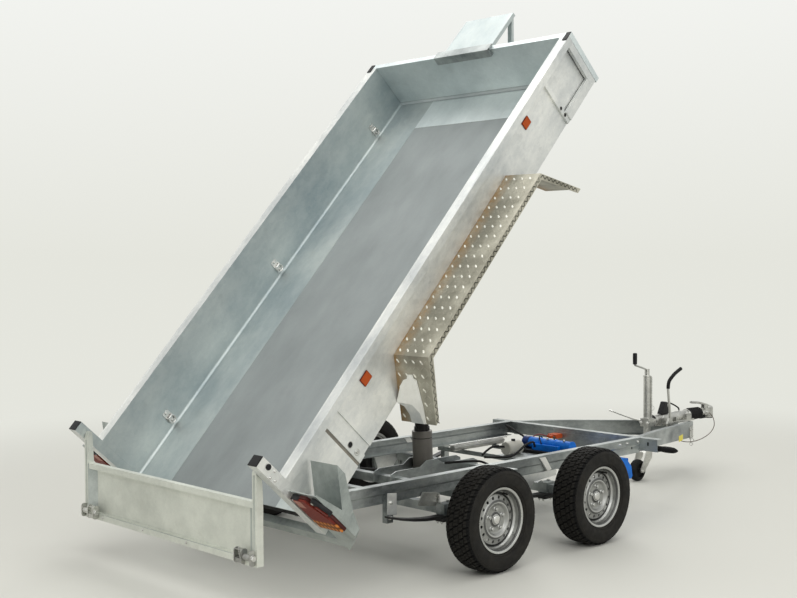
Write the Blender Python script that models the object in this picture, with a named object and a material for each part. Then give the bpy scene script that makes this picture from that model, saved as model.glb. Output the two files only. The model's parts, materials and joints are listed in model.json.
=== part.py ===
"""Rear tipping tandem axle trailer, parked on its wheels and its jockey wheel with the bed raised.

X points forward to the coupling, Y to the left and Z up. The ground is Z = 0. Places along X are
worked out from the rear axle, and at the end all is moved so that the origin lies on the ground
under the middle of the whole length. Lengths are in metres.
"""
import math

import bmesh
import bpy
from mathutils import Vector

# The origin, under the middle of the whole length, ahead of the rear axle
ORIGIN_X = 1.153

# Chassis
AXLE_GAP = 0.883
BEAM_TOP = 0.463
BEAM_HEIGHT = 0.100
BEAM_OUTER = 0.586
BEAM_FLANGE = 0.050
BEAM_SHEET = 0.004
BEAM_REAR = -0.900
BEAM_FRONT = 1.9297
FIT = 0.0003

# Wheels: 165/70 R13 on a 13 inch steel rim
TYRE_RADIUS = 0.2805
TYRE_WIDTH = 0.180
TYRE_OUTER = BEAM_OUTER + 0.4755
RIM_RADIUS = 0.1745
RIM_SEAT = 0.160
WHEEL_SEGMENTS = 28

# Tipping bed. Bed places are u forward, v left and w up from the floor's reference point.
TIP_DEG = 47.42
BED_REF_X = -0.985
BED_REF_Z = 0.502
PIVOT_U = 0.030
PIVOT_W = -0.038
BED_REAR_U = -0.105
BED_FRONT_U = 3.017
RAIL_OUTER = 0.850
BED_INNER = RAIL_OUTER - 0.067
BED_OUTER = RAIL_OUTER - 0.020
GUARD_OUTER = RAIL_OUTER + 0.225
WALL_TOP = 0.326
RAIL_HEIGHT = 0.045
FRONT_RAIL = 0.036
SHEET = 0.003
FLOOR_HALF = RAIL_OUTER - 0.380
FLOOR_FRONT_U = 2.743
POST_REAR_U = -0.160
POST_TOP = 0.505
POST_INNER = BED_INNER + 0.0005

# Tailgate, hung from pins at the tops of the rear posts
PIN_U = -0.128
PIN_W = 0.428
GATE_HALF = POST_INNER - 0.006
GATE_DROP = 0.457
GATE_PANEL_TOP = 0.157

# Lifting ram
EYE_U = 1.950
RAM_X = EYE_U - 1.484
RAM_Z = 0.400
EYE_W = -0.090
STAGES = 3
RAM_FLOOR = 0.030

# Hydraulic unit
UNIT_SEAT = 0.3408
UNIT_TOP = UNIT_SEAT + 0.022

# Drawbar
COUPLING_Z = 0.422
DRAWBAR_TIP_X = 3.400
JOCKEY_X = 2.812
JOCKEY_Y = -0.040
JOCKEY_TRAIL = 0.122
JOCKEY_RADIUS = 0.080

# Colours: red, green, blue, roughness, metallic
FINISHES = {
    "galvanised": (0.62, 0.64, 0.65, 0.45, 0.90),
    "floor_steel": (0.34, 0.35, 0.35, 0.60, 0.70),
    "chequer": (0.72, 0.69, 0.62, 0.35, 0.95),
    "zinc_plate": (0.66, 0.67, 0.68, 0.30, 0.95),
    "rim_silver": (0.62, 0.63, 0.64, 0.35, 0.60),
    "spring_black": (0.03, 0.03, 0.03, 0.55, 0.20),
    "ram_grey": (0.33, 0.33, 0.32, 0.45, 0.60),
    "ram_steel": (0.70, 0.70, 0.71, 0.18, 1.00),
    "tyre": (0.03, 0.03, 0.03, 0.85, 0.00),
    "rubber": (0.02, 0.02, 0.02, 0.70, 0.00),
    "black_plastic": (0.02, 0.02, 0.02, 0.50, 0.00),
    "blue_plastic": (0.02, 0.16, 0.62, 0.40, 0.00),
    "white_plastic": (0.75, 0.75, 0.72, 0.40, 0.00),
    "lamp_red": (0.45, 0.03, 0.02, 0.20, 0.00),
}


def clear_scene():
    for ob in list(bpy.data.objects):
        bpy.data.objects.remove(ob, do_unlink=True)


def finish(name):
    mat = bpy.data.materials.get(name)
    if mat:
        return mat
    red, green, blue, rough, metal = FINISHES[name]
    mat = bpy.data.materials.new(name)
    mat.use_nodes = True
    shader = mat.node_tree.nodes["Principled BSDF"]
    shader.inputs["Base Color"].default_value = (red, green, blue, 1.0)
    shader.inputs["Roughness"].default_value = rough
    shader.inputs["Metallic"].default_value = metal
    return mat


def raw_object(name, shape):
    """One object from a shape, which is its corner points and its faces."""
    verts, faces = shape
    mesh = bpy.data.meshes.new(name)
    mesh.from_pydata([tuple(v) for v in verts], [], faces)
    bm = bmesh.new()
    bm.from_mesh(mesh)
    bmesh.ops.recalc_face_normals(bm, faces=bm.faces)
    bm.to_mesh(mesh)
    bm.free()
    ob = bpy.data.objects.new(name, mesh)
    bpy.context.scene.collection.objects.link(ob)
    return ob


def combine(body, tool, operation):
    """Apply one exact Boolean and drop the tool."""
    mod = body.modifiers.new("combine", "BOOLEAN")
    mod.operation = operation
    mod.solver = "EXACT"
    mod.object = tool
    bpy.context.view_layer.update()
    graph = bpy.context.evaluated_depsgraph_get()
    mesh = bpy.data.meshes.new_from_object(body.evaluated_get(graph))
    body.modifiers.clear()
    body.data = mesh
    bpy.data.objects.remove(tool, do_unlink=True)


def part(name, colour, shapes, holes=(), parent=None, smooth=False):
    """A named solid: the union of its shapes less its holes, placed under its joint's empty."""
    ob = raw_object(name, shapes[0])
    for shape in shapes[1:]:
        combine(ob, raw_object("tool", shape), "UNION")
    for hole in holes:
        combine(ob, raw_object("tool", hole), "DIFFERENCE")
    ob.data.materials.clear()
    ob.data.materials.append(finish(colour))
    if smooth:
        ob.data.shade_smooth()
        ob.data.set_sharp_from_angle(angle=math.radians(35))
    if parent:
        ob.parent = parent
    return ob


def joint_frame(name, location, tilt_deg=0.0, parent=None):
    empty = bpy.data.objects.new(name, None)
    bpy.context.scene.collection.objects.link(empty)
    empty.location = location
    empty.rotation_euler = (0.0, math.radians(tilt_deg), 0.0)
    empty.parent = parent
    return empty


# Shapes

def box(x0, x1, y0, y1, z0, z1):
    verts = [(x, y, z) for x in (x0, x1) for y in (y0, y1) for z in (z0, z1)]
    faces = [(0, 1, 3, 2), (4, 6, 7, 5), (0, 4, 5, 1), (2, 3, 7, 6), (0, 2, 6, 4), (1, 5, 7, 3)]
    return verts, faces


def prism(outline, axis, start, end):
    """Outline in the plane across an axis, run from start to end along it.

    The outline's two numbers are y, z across X, x, z across Y and x, y across Z.
    """
    place = {
        "X": lambda p, q, s: (s, p, q),
        "Y": lambda p, q, s: (p, s, q),
        "Z": lambda p, q, s: (p, q, s),
    }[axis]
    n = len(outline)
    verts = [place(p, q, s) for s in (start, end) for p, q in outline]
    faces = [tuple(range(n)), tuple(range(2 * n - 1, n - 1, -1))]
    faces += [(i, (i + 1) % n, n + (i + 1) % n, n + i) for i in range(n)]
    return verts, faces


def across(start, end):
    """Two directions square to the line from start to end."""
    along = (Vector(end) - Vector(start)).normalized()
    guide = Vector((0, 0, 1)) if abs(along.z) < 0.9 else Vector((0, 1, 0))
    first = along.cross(guide).normalized()
    return along, first, along.cross(first).normalized()


def rod(start, end, radius, sides=16, end_radius=None):
    """Round bar or cone between two points."""
    end_radius = radius if end_radius is None else end_radius
    _, first, second = across(start, end)
    verts = []
    for centre, size in ((Vector(start), radius), (Vector(end), end_radius)):
        for i in range(sides):
            angle = 2 * math.pi * i / sides
            verts.append(centre + size * (math.cos(angle) * first + math.sin(angle) * second))
    faces = [tuple(range(sides)), tuple(range(2 * sides - 1, sides - 1, -1))]
    faces += [(i, (i + 1) % sides, sides + (i + 1) % sides, sides + i) for i in range(sides)]
    return verts, faces


def sweep(points, radius, sides=8):
    """Round bar that follows a run of points."""
    points = [Vector(p) for p in points]
    verts, faces = [], []
    side = None
    for i, point in enumerate(points):
        ahead = points[min(i + 1, len(points) - 1)] - points[max(i - 1, 0)]
        ahead.normalize()
        if side is None:
            _, side, _ = across(point, point + ahead)
        side = (side - ahead * side.dot(ahead)).normalized()
        other = ahead.cross(side)
        for k in range(sides):
            angle = 2 * math.pi * k / sides
            verts.append(point + radius * (math.cos(angle) * side + math.sin(angle) * other))
    for i in range(len(points) - 1):
        for k in range(sides):
            a, b = i * sides + k, i * sides + (k + 1) % sides
            faces.append((a, b, b + sides, a + sides))
    last = (len(points) - 1) * sides
    faces.append(tuple(range(sides)))
    faces.append(tuple(range(last + sides - 1, last - 1, -1)))
    return verts, faces


def turned_y(profile, centre, segments):
    """Closed profile of (radius, y) turned about a line along Y through the centre."""
    cx, cy, cz = centre
    verts, rings = [], []
    for radius, y in profile:
        if radius < 1e-6:
            rings.append([len(verts)] * segments)
            verts.append((cx, cy + y, cz))
            continue
        rings.append(list(range(len(verts), len(verts) + segments)))
        for i in range(segments):
            angle = 2 * math.pi * i / segments
            verts.append((cx + radius * math.cos(angle), cy + y, cz + radius * math.sin(angle)))
    faces = []
    count = len(profile)
    for j in range(count):
        one, two = rings[j], rings[(j + 1) % count]
        for i in range(segments):
            k = (i + 1) % segments
            corners = []
            for index in (one[i], one[k], two[k], two[i]):
                if index not in corners:
                    corners.append(index)
            if len(corners) > 2:
                faces.append(tuple(corners))
    return verts, faces


def mirrored(shape):
    verts, faces = shape
    return [(x, -y, z) for x, y, z in verts], [tuple(reversed(face)) for face in faces]


def sided(shape, side):
    """The shape as drawn for the left, or its mirror for the right."""
    return shape if side > 0 else mirrored(shape)


def shifted(shape, offset):
    verts, faces = shape
    return [tuple(Vector(v) - Vector(offset)) for v in verts], faces


def smooth_run(stops, steps):
    """Points along a curve through the stops."""
    pts = [Vector(p) for p in stops]
    pts = [2 * pts[0] - pts[1]] + pts + [2 * pts[-1] - pts[-2]]
    run = []
    for i in range(1, len(pts) - 2):
        a, b, c, d = pts[i - 1:i + 3]
        for k in range(steps):
            t = k / steps
            run.append(0.5 * (2 * b + (c - a) * t + (2 * a - 5 * b + 4 * c - d) * t ** 2
                              + (3 * b - a - 3 * c + d) * t ** 3))
    run.append(pts[-2])
    return run


SIDES = (("right", -1), ("left", 1))
AXLES = (("rear", 0.0), ("front", AXLE_GAP))

# The bed's pivot in world places
TIP = math.radians(TIP_DEG)
PIVOT_X = BED_REF_X + PIVOT_U * math.cos(TIP) - PIVOT_W * math.sin(TIP)
PIVOT_Z = BED_REF_Z + PIVOT_U * math.sin(TIP) + PIVOT_W * math.cos(TIP)


# How long the ram is with the bed down on the beams
RAM_CLOSED = math.hypot(PIVOT_X + EYE_U - PIVOT_U - RAM_X, PIVOT_Z + EYE_W - PIVOT_W - RAM_Z)


def bed_place(u, w):
    """World X and Z of a bed place in the raised pose."""
    x = BED_REF_X + u * math.cos(TIP) - w * math.sin(TIP)
    return x, BED_REF_Z + u * math.sin(TIP) + w * math.cos(TIP)


# Chassis

def chassis_beams():
    bottom = BEAM_TOP - BEAM_HEIGHT
    outer, inner = BEAM_OUTER, BEAM_OUTER - BEAM_FLANGE
    t, step = BEAM_SHEET, 0.008
    fold = BEAM_TOP - 0.045
    profile = [
        (outer, BEAM_TOP), (outer, fold), (outer - step, fold - 0.010), (outer - step, bottom),
        (inner, bottom), (inner, bottom + t), (outer - step - t, bottom + t),
        (outer - step - t, fold - 0.008), (outer - t, fold + 0.002), (outer - t, BEAM_TOP - t),
        (inner, BEAM_TOP - t), (inner, BEAM_TOP),
    ]
    lug_in, lug_out = BEAM_OUTER - 0.068, BEAM_OUTER - 0.0485
    for word, side in SIDES:
        shapes = [prism(profile, "X", BEAM_REAR, BEAM_FRONT)]
        lug = [(PIVOT_X - 0.036, BEAM_TOP - 0.090), (PIVOT_X + 0.160, BEAM_TOP - 0.090),
               (PIVOT_X + 0.160, BEAM_TOP + 0.001), (PIVOT_X + 0.050, BEAM_TOP + 0.001),
               (PIVOT_X + 0.028, PIVOT_Z + 0.020),
               (PIVOT_X + 0.012, PIVOT_Z + 0.032), (PIVOT_X - 0.012, PIVOT_Z + 0.032),
               (PIVOT_X - 0.028, PIVOT_Z + 0.020), (PIVOT_X - 0.036, PIVOT_Z)]
        shapes.append(prism(lug, "Y", lug_in, lug_out))
        shapes.append(rod((PIVOT_X, lug_in + 0.004, PIVOT_Z), (PIVOT_X, SPRING_SEAT, PIVOT_Z), 0.013, 12))
        for x in (SPRING_REAR, SPRING_MIDDLE, SPRING_FRONT):
            shapes.append(box(x - 0.022, x + 0.022, outer - step - 0.002, SPRING_SEAT, 0.262, 0.412))
        # Arm that carries the middle of the two springs
        arm_x = SPRING_MIDDLE + 0.0365
        arm_end = outer + 0.165
        arm = [(outer - step - 0.002, bottom + 0.055), (outer + 0.010, bottom + 0.055),
               (arm_end, BEAM_TOP - 0.034), (arm_end, BEAM_TOP - 0.006),
               (outer - step - 0.002, BEAM_TOP - 0.006)]
        shapes.append(prism(arm, "X", arm_x - 0.038, arm_x - 0.034))
        shapes.append(box(arm_x - 0.037, arm_x, outer - t / 2, arm_end + 0.0005, BEAM_TOP - 0.010,
                          BEAM_TOP - 0.0055))
        part("beam_" + word, "galvanised", [sided(s, side) for s in shapes])


SPRING_REAR = -0.400
SPRING_MIDDLE = AXLE_GAP / 2
SPRING_FRONT = AXLE_GAP + 0.400
SPRING_INNER = BEAM_OUTER + 0.0263
SPRING_OUTER = SPRING_INNER + 0.0477
SPRING_SEAT = SPRING_INNER - FIT


def cross_members():
    """Front channel with its open ends, the ram's cradle and the lower cross bar."""
    top, low = BEAM_TOP - 0.001, BEAM_TOP - 0.085
    back, front, t = 1.930, 1.985, 0.004
    channel = [(back, low), (front, low), (front, low + t), (back + t, low + t),
               (back + t, top - t), (front, top - t), (front, top), (back, top)]
    part("front_crossmember", "galvanised", [prism(channel, "Y", -BEAM_OUTER - 0.134, BEAM_OUTER + 0.134)])
    half = BEAM_OUTER - 0.0127
    tube_top, tube_low = 0.3625, 0.3125
    shapes = [box(RAM_X - 0.316, RAM_X - 0.266, -half, half, tube_low, tube_top)]
    rear, front = RAM_X - 0.346, RAM_X + 0.414
    plate = [(rear, 0.325), (front, 0.325), (front, 0.380), (front - 0.040, 0.398), (RAM_X + 0.10, 0.398),
             (RAM_X + 0.045, 0.432), (RAM_X - 0.045, 0.432), (RAM_X - 0.10, 0.398), (rear + 0.040, 0.398),
             (rear, 0.380)]
    for side in (-1, 1):
        shapes.append(prism(plate, "Y", side * 0.070, side * 0.078))
        shapes.append(rod((RAM_X, side * 0.052, RAM_Z), (RAM_X, side * 0.074, RAM_Z), 0.012, 12))
    shapes.append(box(RAM_X + 0.334, RAM_X + 0.384, -half, half, tube_low + 0.001, tube_top))
    part("ram_cradle", "galvanised", shapes)
    angle = [(1.190, 0.3325), (1.240, 0.3325), (1.240, 0.3365), (1.194, 0.3365), (1.194, 0.3625),
             (1.190, 0.3625)]
    part("cross_bar", "galvanised", [prism(angle, "Y", -half, half)])
    tube_end = BEAM_OUTER - 0.0683
    part("pivot_tube", "galvanised",
         [rod((PIVOT_X, -tube_end, PIVOT_Z), (PIVOT_X, tube_end, PIVOT_Z), 0.022, 16)], smooth=True)


def drawbar():
    """Two folded beams that meet under the overrun housing."""
    x0, x1 = 1.9853, DRAWBAR_TIP_X
    y0, y1 = BEAM_OUTER - 0.026, 0.070
    for word, side in SIDES:
        rows = []
        for k in range(7):
            t = k / 6
            drop = 0.086 * t ** 1.2
            rows.append((x0 + (x1 - x0) * t, y0 + (y1 - y0) * t, BEAM_TOP - 0.001 - drop,
                         BEAM_TOP - 0.101 - drop - 0.022 * t))
        verts, faces = [], []
        for x, y, top, low in rows:
            for out, height in ((0, top), (0, low), (-0.040, low), (-0.040, low + 0.004),
                                (-0.004, low + 0.004), (-0.004, top - 0.004),
                                (-0.040, top - 0.004), (-0.040, top)):
                verts.append((x, side * (y + out), height))
        for i in range(len(rows) - 1):
            for k in range(8):
                a, b = 8 * i + k, 8 * i + (k + 1) % 8
                faces.append((a, b, b + 8, a + 8))
        last = 8 * (len(rows) - 1)
        faces.append(tuple(range(8)))
        faces.append(tuple(range(last + 7, last - 1, -1)))
        part("drawbar_" + word, "galvanised", [(verts, faces)])


def overrun():
    """Housing on the drawbar, its bellows, the coupling head and the parts around them."""
    z = COUPLING_Z
    shapes = [rod((2.900, 0, z), (3.440, 0, z), 0.038, 20),
              box(2.960, 3.430, -0.0600, 0.0600, 0.3827, 0.398),
              box(2.990, 3.050, -0.055, 0.055, 0.390, 0.440),
              box(3.330, 3.400, -0.055, 0.055, 0.390, 0.440)]
    part("overrun_housing", "zinc_plate", shapes,
         holes=[rod((2.895, 0, z), (2.960, 0, z), 0.028, 20)], smooth=True)
    rings = []
    count = 5
    for k in range(count):
        x = 3.4404 + 0.150 * k / count
        rings += [(x, 0.050), (x + 0.014, 0.050), (x + 0.020, 0.040)]
    rings.append((3.590, 0.040))
    verts, faces = [], []
    sides = 14
    for x, r in rings:
        for i in range(sides):
            a = 2 * math.pi * i / sides
            verts.append((x, r * math.cos(a), z + r * math.sin(a)))
    for j in range(len(rings) - 1):
        for i in range(sides):
            k = (i + 1) % sides
            faces.append((j * sides + i, j * sides + k, (j + 1) * sides + k, (j + 1) * sides + i))
    faces.append(tuple(range(sides)))
    last = (len(rings) - 1) * sides
    faces.append(tuple(range(last + sides - 1, last - 1, -1)))
    part("bellows", "rubber", [(verts, faces)], smooth=True)
    head = [rod((3.5903, 0, z), (3.680, 0, z), 0.026, 16),
            box(3.640, 3.735, -0.030, 0.030, z - 0.022, z + 0.032),
            rod((3.735, 0, z - 0.048), (3.735, 0, z + 0.030), 0.036, 20),
            prism([(3.480, z + 0.086), (3.600, z + 0.070), (3.700, z + 0.046), (3.748, z + 0.020),
                   (3.748, z + 0.034), (3.702, z + 0.060), (3.602, z + 0.082), (3.482, z + 0.097)],
                  "Y", -0.014, 0.014)]
    part("coupling_head", "zinc_plate", head,
         holes=[rod((3.735, 0, z - 0.060), (3.735, 0, z + 0.004), 0.026, 16)])
    guard = [(3.034, z + 0.0385), (3.142, z + 0.0385), (3.116, z + 0.127), (3.084, z + 0.131)]
    part("lever_guard", "black_plastic", [prism(guard, "Y", -0.022, 0.022)])
    stops = [(3.1288, 0.004, z + 0.092), (3.166, 0.006, z + 0.114), (3.240, 0.010, z + 0.095),
             (3.300, 0.002, z + 0.064), (3.308, 0.001, z + 0.0436)]
    part("brake_hose", "rubber", [sweep(smooth_run(stops, 4), 0.006, 8)], smooth=True)
    lever = [(3.044, -0.090, 0.330), (3.042, -0.090, 0.480), (3.024, -0.090, 0.600),
             (3.018, -0.090, 0.680), (3.038, -0.090, 0.728), (3.105, -0.090, 0.772),
             (3.182, -0.090, 0.803)]
    shapes = [sweep(smooth_run(lever, 3), 0.010, 10),
              prism([(3.000, 0.330), (3.080, 0.330), (3.080, 0.400), (3.052, 0.440),
                     (3.026, 0.440), (3.000, 0.400)], "Y", -0.098, -0.084),
              box(3.022, 3.058, -0.088, -0.0603, 0.386, 0.397)]
    part("handbrake_lever", "zinc_plate", shapes, smooth=True)


def jockey():
    x, y = JOCKEY_X, JOCKEY_Y
    crank_x = x - 0.157
    shapes = [rod((x, y, 0.330), (x, y, 0.776), 0.026, 18),
              rod((x, y, 0.770), (x, y, 0.827), 0.018, 12),
              box(x - 0.032, x + 0.040, y - 0.036, y + 0.036, 0.395, 0.455),
              box(x + 0.030, 2.8997, y - 0.024, y + 0.030, 0.400, 0.444),
              sweep([(x, y + 0.034, 0.432), (x - 0.010, y + 0.120, 0.440),
                     (x - 0.020, y + 0.300, 0.482)], 0.006, 8),
              sweep([(x, y, 0.820), (x - 0.060, y, 0.838), (crank_x, y, 0.864),
                     (crank_x - 0.0005, y, 0.880)], 0.007, 8),
              rod((crank_x, y, 0.872), (crank_x, y, 0.952), 0.014, 12)]
    part("jockey_column", "zinc_plate", shapes,
         holes=[rod((x, y, 0.300), (x, y, 0.700), 0.0212, 18)], smooth=True)
    swivel = joint_frame("jockey_swivel", (x, y, 0.330))
    back = JOCKEY_TRAIL
    wheel_z = JOCKEY_RADIUS
    fork = [rod((0, 0, -0.110), (0, 0, 0.300), 0.0206, 18),
            prism([(-0.060, -0.124), (0.030, -0.124), (0.030, -0.096), (-0.020, -0.096)],
                  "Y", -0.044, 0.044)]
    hub_z = wheel_z - 0.330
    arm = [(0.012, -0.100), (0.006, -0.165), (-back + 0.022, hub_z - 0.020), (-back - 0.014, hub_z - 0.012),
           (-back - 0.014, hub_z + 0.016), (-back + 0.022, hub_z + 0.064), (-0.062, -0.100)]
    for side in (-1, 1):
        fork.append(prism(arm, "Y", side * 0.038, side * 0.0435))
    fork.append(rod((-back, -0.050, hub_z), (-back, 0.050, hub_z), 0.0106, 12))
    part("jockey_fork", "zinc_plate", fork, parent=swivel)
    hub = joint_frame("jockey_hub", (x - back, y, wheel_z))
    half = 0.0275
    r = JOCKEY_RADIUS
    profile = [(0.0115, -0.032), (0.020, -0.032), (0.020, -0.018), (r - 0.030, -0.012), (r - 0.028, -half),
               (r - 0.014, -half), (r - 0.004, -0.020), (r, -0.008), (r, 0.008), (r - 0.004, 0.020),
               (r - 0.014, half), (r - 0.028, half), (r - 0.030, 0.012), (0.020, 0.018),
               (0.020, 0.032), (0.0115, 0.032)]
    part("jockey_wheel", "rubber", [turned_y(profile, (0, 0, 0), 24)], parent=hub, smooth=True)


# Running gear

def running_gear():
    hub_z = TYRE_RADIUS
    drum = TYRE_OUTER - 0.2715
    for word, x in AXLES:
        shapes = [box(x - 0.025, x + 0.025, -drum - 0.010, drum + 0.010, hub_z - 0.025, hub_z + 0.025)]
        for side in (-1, 1):
            shapes.append(rod((x, side * drum, hub_z), (x, side * (drum + 0.022), hub_z), 0.098, 24))
            shapes.append(rod((x, side * (drum - 0.010), hub_z), (x, side * (drum + 0.155), hub_z),
                              0.0190, 14))
            y0, y1 = sorted((side * (SPRING_INNER - 0.0063), side * (SPRING_OUTER + 0.009)))
            shapes.append(box(x - 0.045, x + 0.045, y0, y1, hub_z - 0.0252, hub_z + 0.036))
        part("axle_" + word, "galvanised", shapes)
    leaf_low = hub_z - 0.050
    for word, side in SIDES:
        shapes = []
        y0, y1 = SPRING_INNER, SPRING_OUTER
        for _, x in AXLES:
            outline_top, outline_low = [], []
            reach = 0.4415
            for t in (-1.0, -0.8, -0.6, -0.4, -0.25, -0.12, 0.12, 0.25, 0.4, 0.6, 0.8, 1.0):
                rise = 0.052 * ((abs(t) - 0.12) / 0.88) ** 2
                outline_top.append((x + reach * t, leaf_low + 0.0245 + rise))
                outline_low.append((x + reach * t, leaf_low + 0.004 + rise + 0.010 * abs(t)))
            shapes.append(prism(outline_low + outline_top[::-1], "Y", y0, y1))
            shapes.append(box(x - 0.050, x + 0.050, y0 - 0.006, y1 + 0.006, leaf_low - 0.012,
                              leaf_low + 0.008))
        middle = SPRING_MIDDLE
        shapes.append(box(middle - 0.034, middle + 0.034, y0 + 0.001, y1 - 0.001, 0.262, 0.330))
        part("leaf_springs_" + word, "spring_black", [sided(s, side) for s in shapes])


def wheels():
    mid = TYRE_OUTER - TYRE_WIDTH / 2
    half = TYRE_WIDTH / 2
    r, seat = TYRE_RADIUS, RIM_SEAT
    # The tyre's open ring: beads on the seat, bulged walls and a slightly round tread
    flange = half - 0.0235
    half_tyre = [(seat + 0.0015, flange - 0.0003), (RIM_RADIUS + 0.0005, flange - 0.0003),
                 (RIM_RADIUS + 0.006, half - 0.014), (r - 0.066, half), (r - 0.024, half - 0.006),
                 (r - 0.006, half - 0.022), (r, half - 0.055)]
    tyre = [(a, y) for a, y in half_tyre] + [(a, -y) for a, y in reversed(half_tyre)]
    for axle_word, x in AXLES:
        for word, side in SIDES:
            hub = joint_frame("hub_" + axle_word + "_" + word, (x, side * mid, r))
            part("tyre_" + axle_word + "_" + word, "tyre",
                 [turned_y(tyre, (0, 0, 0), WHEEL_SEGMENTS)], parent=hub, smooth=True)
            # Barrel and dished disc as one turned piece, outer side at plus y
            edge = RIM_RADIUS
            bead = seat + 0.0011
            rim = [(0.0200, -0.150), (0.098, -0.150), (0.098, -0.030), (0.140, -0.026),
                   (0.150, -0.034), (0.154, -flange - 0.002), (edge, -flange - 0.006),
                   (edge, -flange - 0.0004), (bead, -flange), (bead, -0.040), (0.1525, -0.020),
                   (0.1525, 0.015), (bead, 0.030), (bead, flange), (edge, flange + 0.0004),
                   (edge, flange + 0.006), (0.158, flange + 0.0035), (0.150, 0.030), (0.140, 0.010),
                   (0.126, 0.004), (0.098, 0.018), (0.084, 0.018), (0.070, 0.006), (0.038, 0.008),
                   (0.036, 0.028), (0.026, 0.042), (0.000, 0.046), (0.000, 0.032), (0.0200, 0.030)]
            shape = turned_y(rim, (0, 0, 0), WHEEL_SEGMENTS)
            holes = []
            for k in range(16):
                angle = 2 * math.pi * (k + 0.5) / 16
                cx, cz = 0.115 * math.cos(angle), 0.115 * math.sin(angle)
                holes.append(rod((cx, -0.050, cz), (cx, 0.040, cz), 0.0062, 8))
            part("rim_" + axle_word + "_" + word, "rim_silver", [sided(shape, side)],
                 [sided(h, side) for h in holes], parent=hub, smooth=True)


# Bed, drawn in bed places and hung on the pivot's empty

def bed_part(name, colour, shapes, holes=(), smooth=False):
    offset = (PIVOT_U, 0, PIVOT_W)
    return part(name, colour, [shifted(s, offset) for s in shapes],
                [shifted(h, offset) for h in holes], BED, smooth)


def bed_tub():
    t = SHEET
    side = FLOOR_HALF - FIT
    sheet = box(BED_REAR_U, FLOOR_FRONT_U - FIT, -side, side, -0.0050, -0.0010)
    bed_part("floor_sheet", "floor_steel", [sheet])
    rail_low = WALL_TOP - RAIL_HEIGHT
    skin = BED_OUTER - 0.008
    profile = [(FLOOR_HALF, 0.0), (BED_INNER - 0.006, 0.0), (BED_INNER, 0.006), (BED_INNER, WALL_TOP),
               (RAIL_OUTER, WALL_TOP), (RAIL_OUTER, rail_low), (skin, rail_low), (skin, -0.020),
               (skin - t, -0.020), (skin - t, WALL_TOP - t), (BED_INNER + t, WALL_TOP - t),
               (BED_INNER + t, 0.004), (BED_INNER - 0.004, -t), (FLOOR_HALF, -t)]
    for word, side in SIDES:
        shapes = [prism(profile, "X", BED_REAR_U, BED_FRONT_U - FIT),
                  box(0.335, 2.650, skin - 0.001, BED_OUTER, -0.019, rail_low + 0.004),
                  box(POST_REAR_U, BED_REAR_U + 0.004, POST_INNER, RAIL_OUTER - 0.001, -0.055, POST_TOP)]
        holes = []
        for u in (0.261, 2.690):
            for w in (0.034, 0.095):
                holes.append(rod((u, skin - 0.010, w), (u, BED_OUTER + 0.010, w), 0.009, 10))
        bed_part("side_" + word, "galvanised", [sided(s, side) for s in shapes],
                 [sided(h, side) for h in holes])
    front = BED_FRONT_U
    rail = front + FRONT_RAIL
    wall = [(front, 0.002), (front + t, 0.002), (front + t, rail_low), (rail, rail_low),
            (rail, WALL_TOP), (front, WALL_TOP)]
    shapes = [prism(wall, "Y", -RAIL_OUTER, RAIL_OUTER)]
    flange = [(FLOOR_FRONT_U, 0.0), (front + 0.001, 0.0), (front + 0.001, 0.006), (front + 0.002, 0.006),
              (front + 0.002, -t), (FLOOR_FRONT_U, -t)]
    shapes.append(prism(flange, "Y", -FLOOR_HALF + FIT, FLOOR_HALF - FIT))
    for side in (-1, 1):
        y0, y1 = sorted((side * (RAIL_OUTER - 0.045), side * (RAIL_OUTER + 0.0005)))
        shapes.append(box(front + 0.0008, rail + 0.0005, y0, y1, -0.030, WALL_TOP + 0.0005))
    bed_part("front_wall", "galvanised", shapes)


def underframe():
    """Two long bearers on the chassis beams, cross bearers and the ram's fork."""
    top = -0.0053
    shapes = []
    for side in (-1, 1):
        y0, y1 = sorted((side * (BEAM_OUTER - 0.0405), side * (BEAM_OUTER - 0.001)))
        shapes.append(box(-0.080, 2.990, y0, y1, -0.066, top))
    shapes.append(box(-0.100, -0.060, -BED_INNER + 0.003, BED_INNER - 0.003, -0.0465, top - 0.001))
    for u in (0.420, 0.900, 1.380, EYE_U - 0.090, EYE_U + 0.090, 2.520, 2.950):
        shapes.append(box(u, u + 0.040, -BEAM_OUTER + 0.026, BEAM_OUTER - 0.026, -0.046, top - 0.001))
    shapes.append(box(EYE_U - 0.084, EYE_U + 0.124, -0.070, 0.070, -0.052, -0.040))
    fork = [(EYE_U - 0.050, -0.045), (EYE_U + 0.050, -0.045), (EYE_U + 0.022, EYE_W - 0.020),
            (EYE_U - 0.022, EYE_W - 0.020)]
    for side in (-1, 1):
        shapes.append(prism(fork, "Y", side * 0.042, side * 0.050))
        shapes.append(rod((EYE_U, side * 0.046, EYE_W), (EYE_U, side * 0.059, EYE_W), 0.012, 10))
    holes = []
    for side in (-1, 1):
        y0, y1 = side * (BEAM_OUTER - 0.056), side * (BEAM_OUTER + 0.014)
        holes.append(rod((PIVOT_U, y0, PIVOT_W), (PIVOT_U, y1, PIVOT_W), 0.0140, 14))
    bed_part("bed_bearers", "galvanised", shapes, holes)


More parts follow.
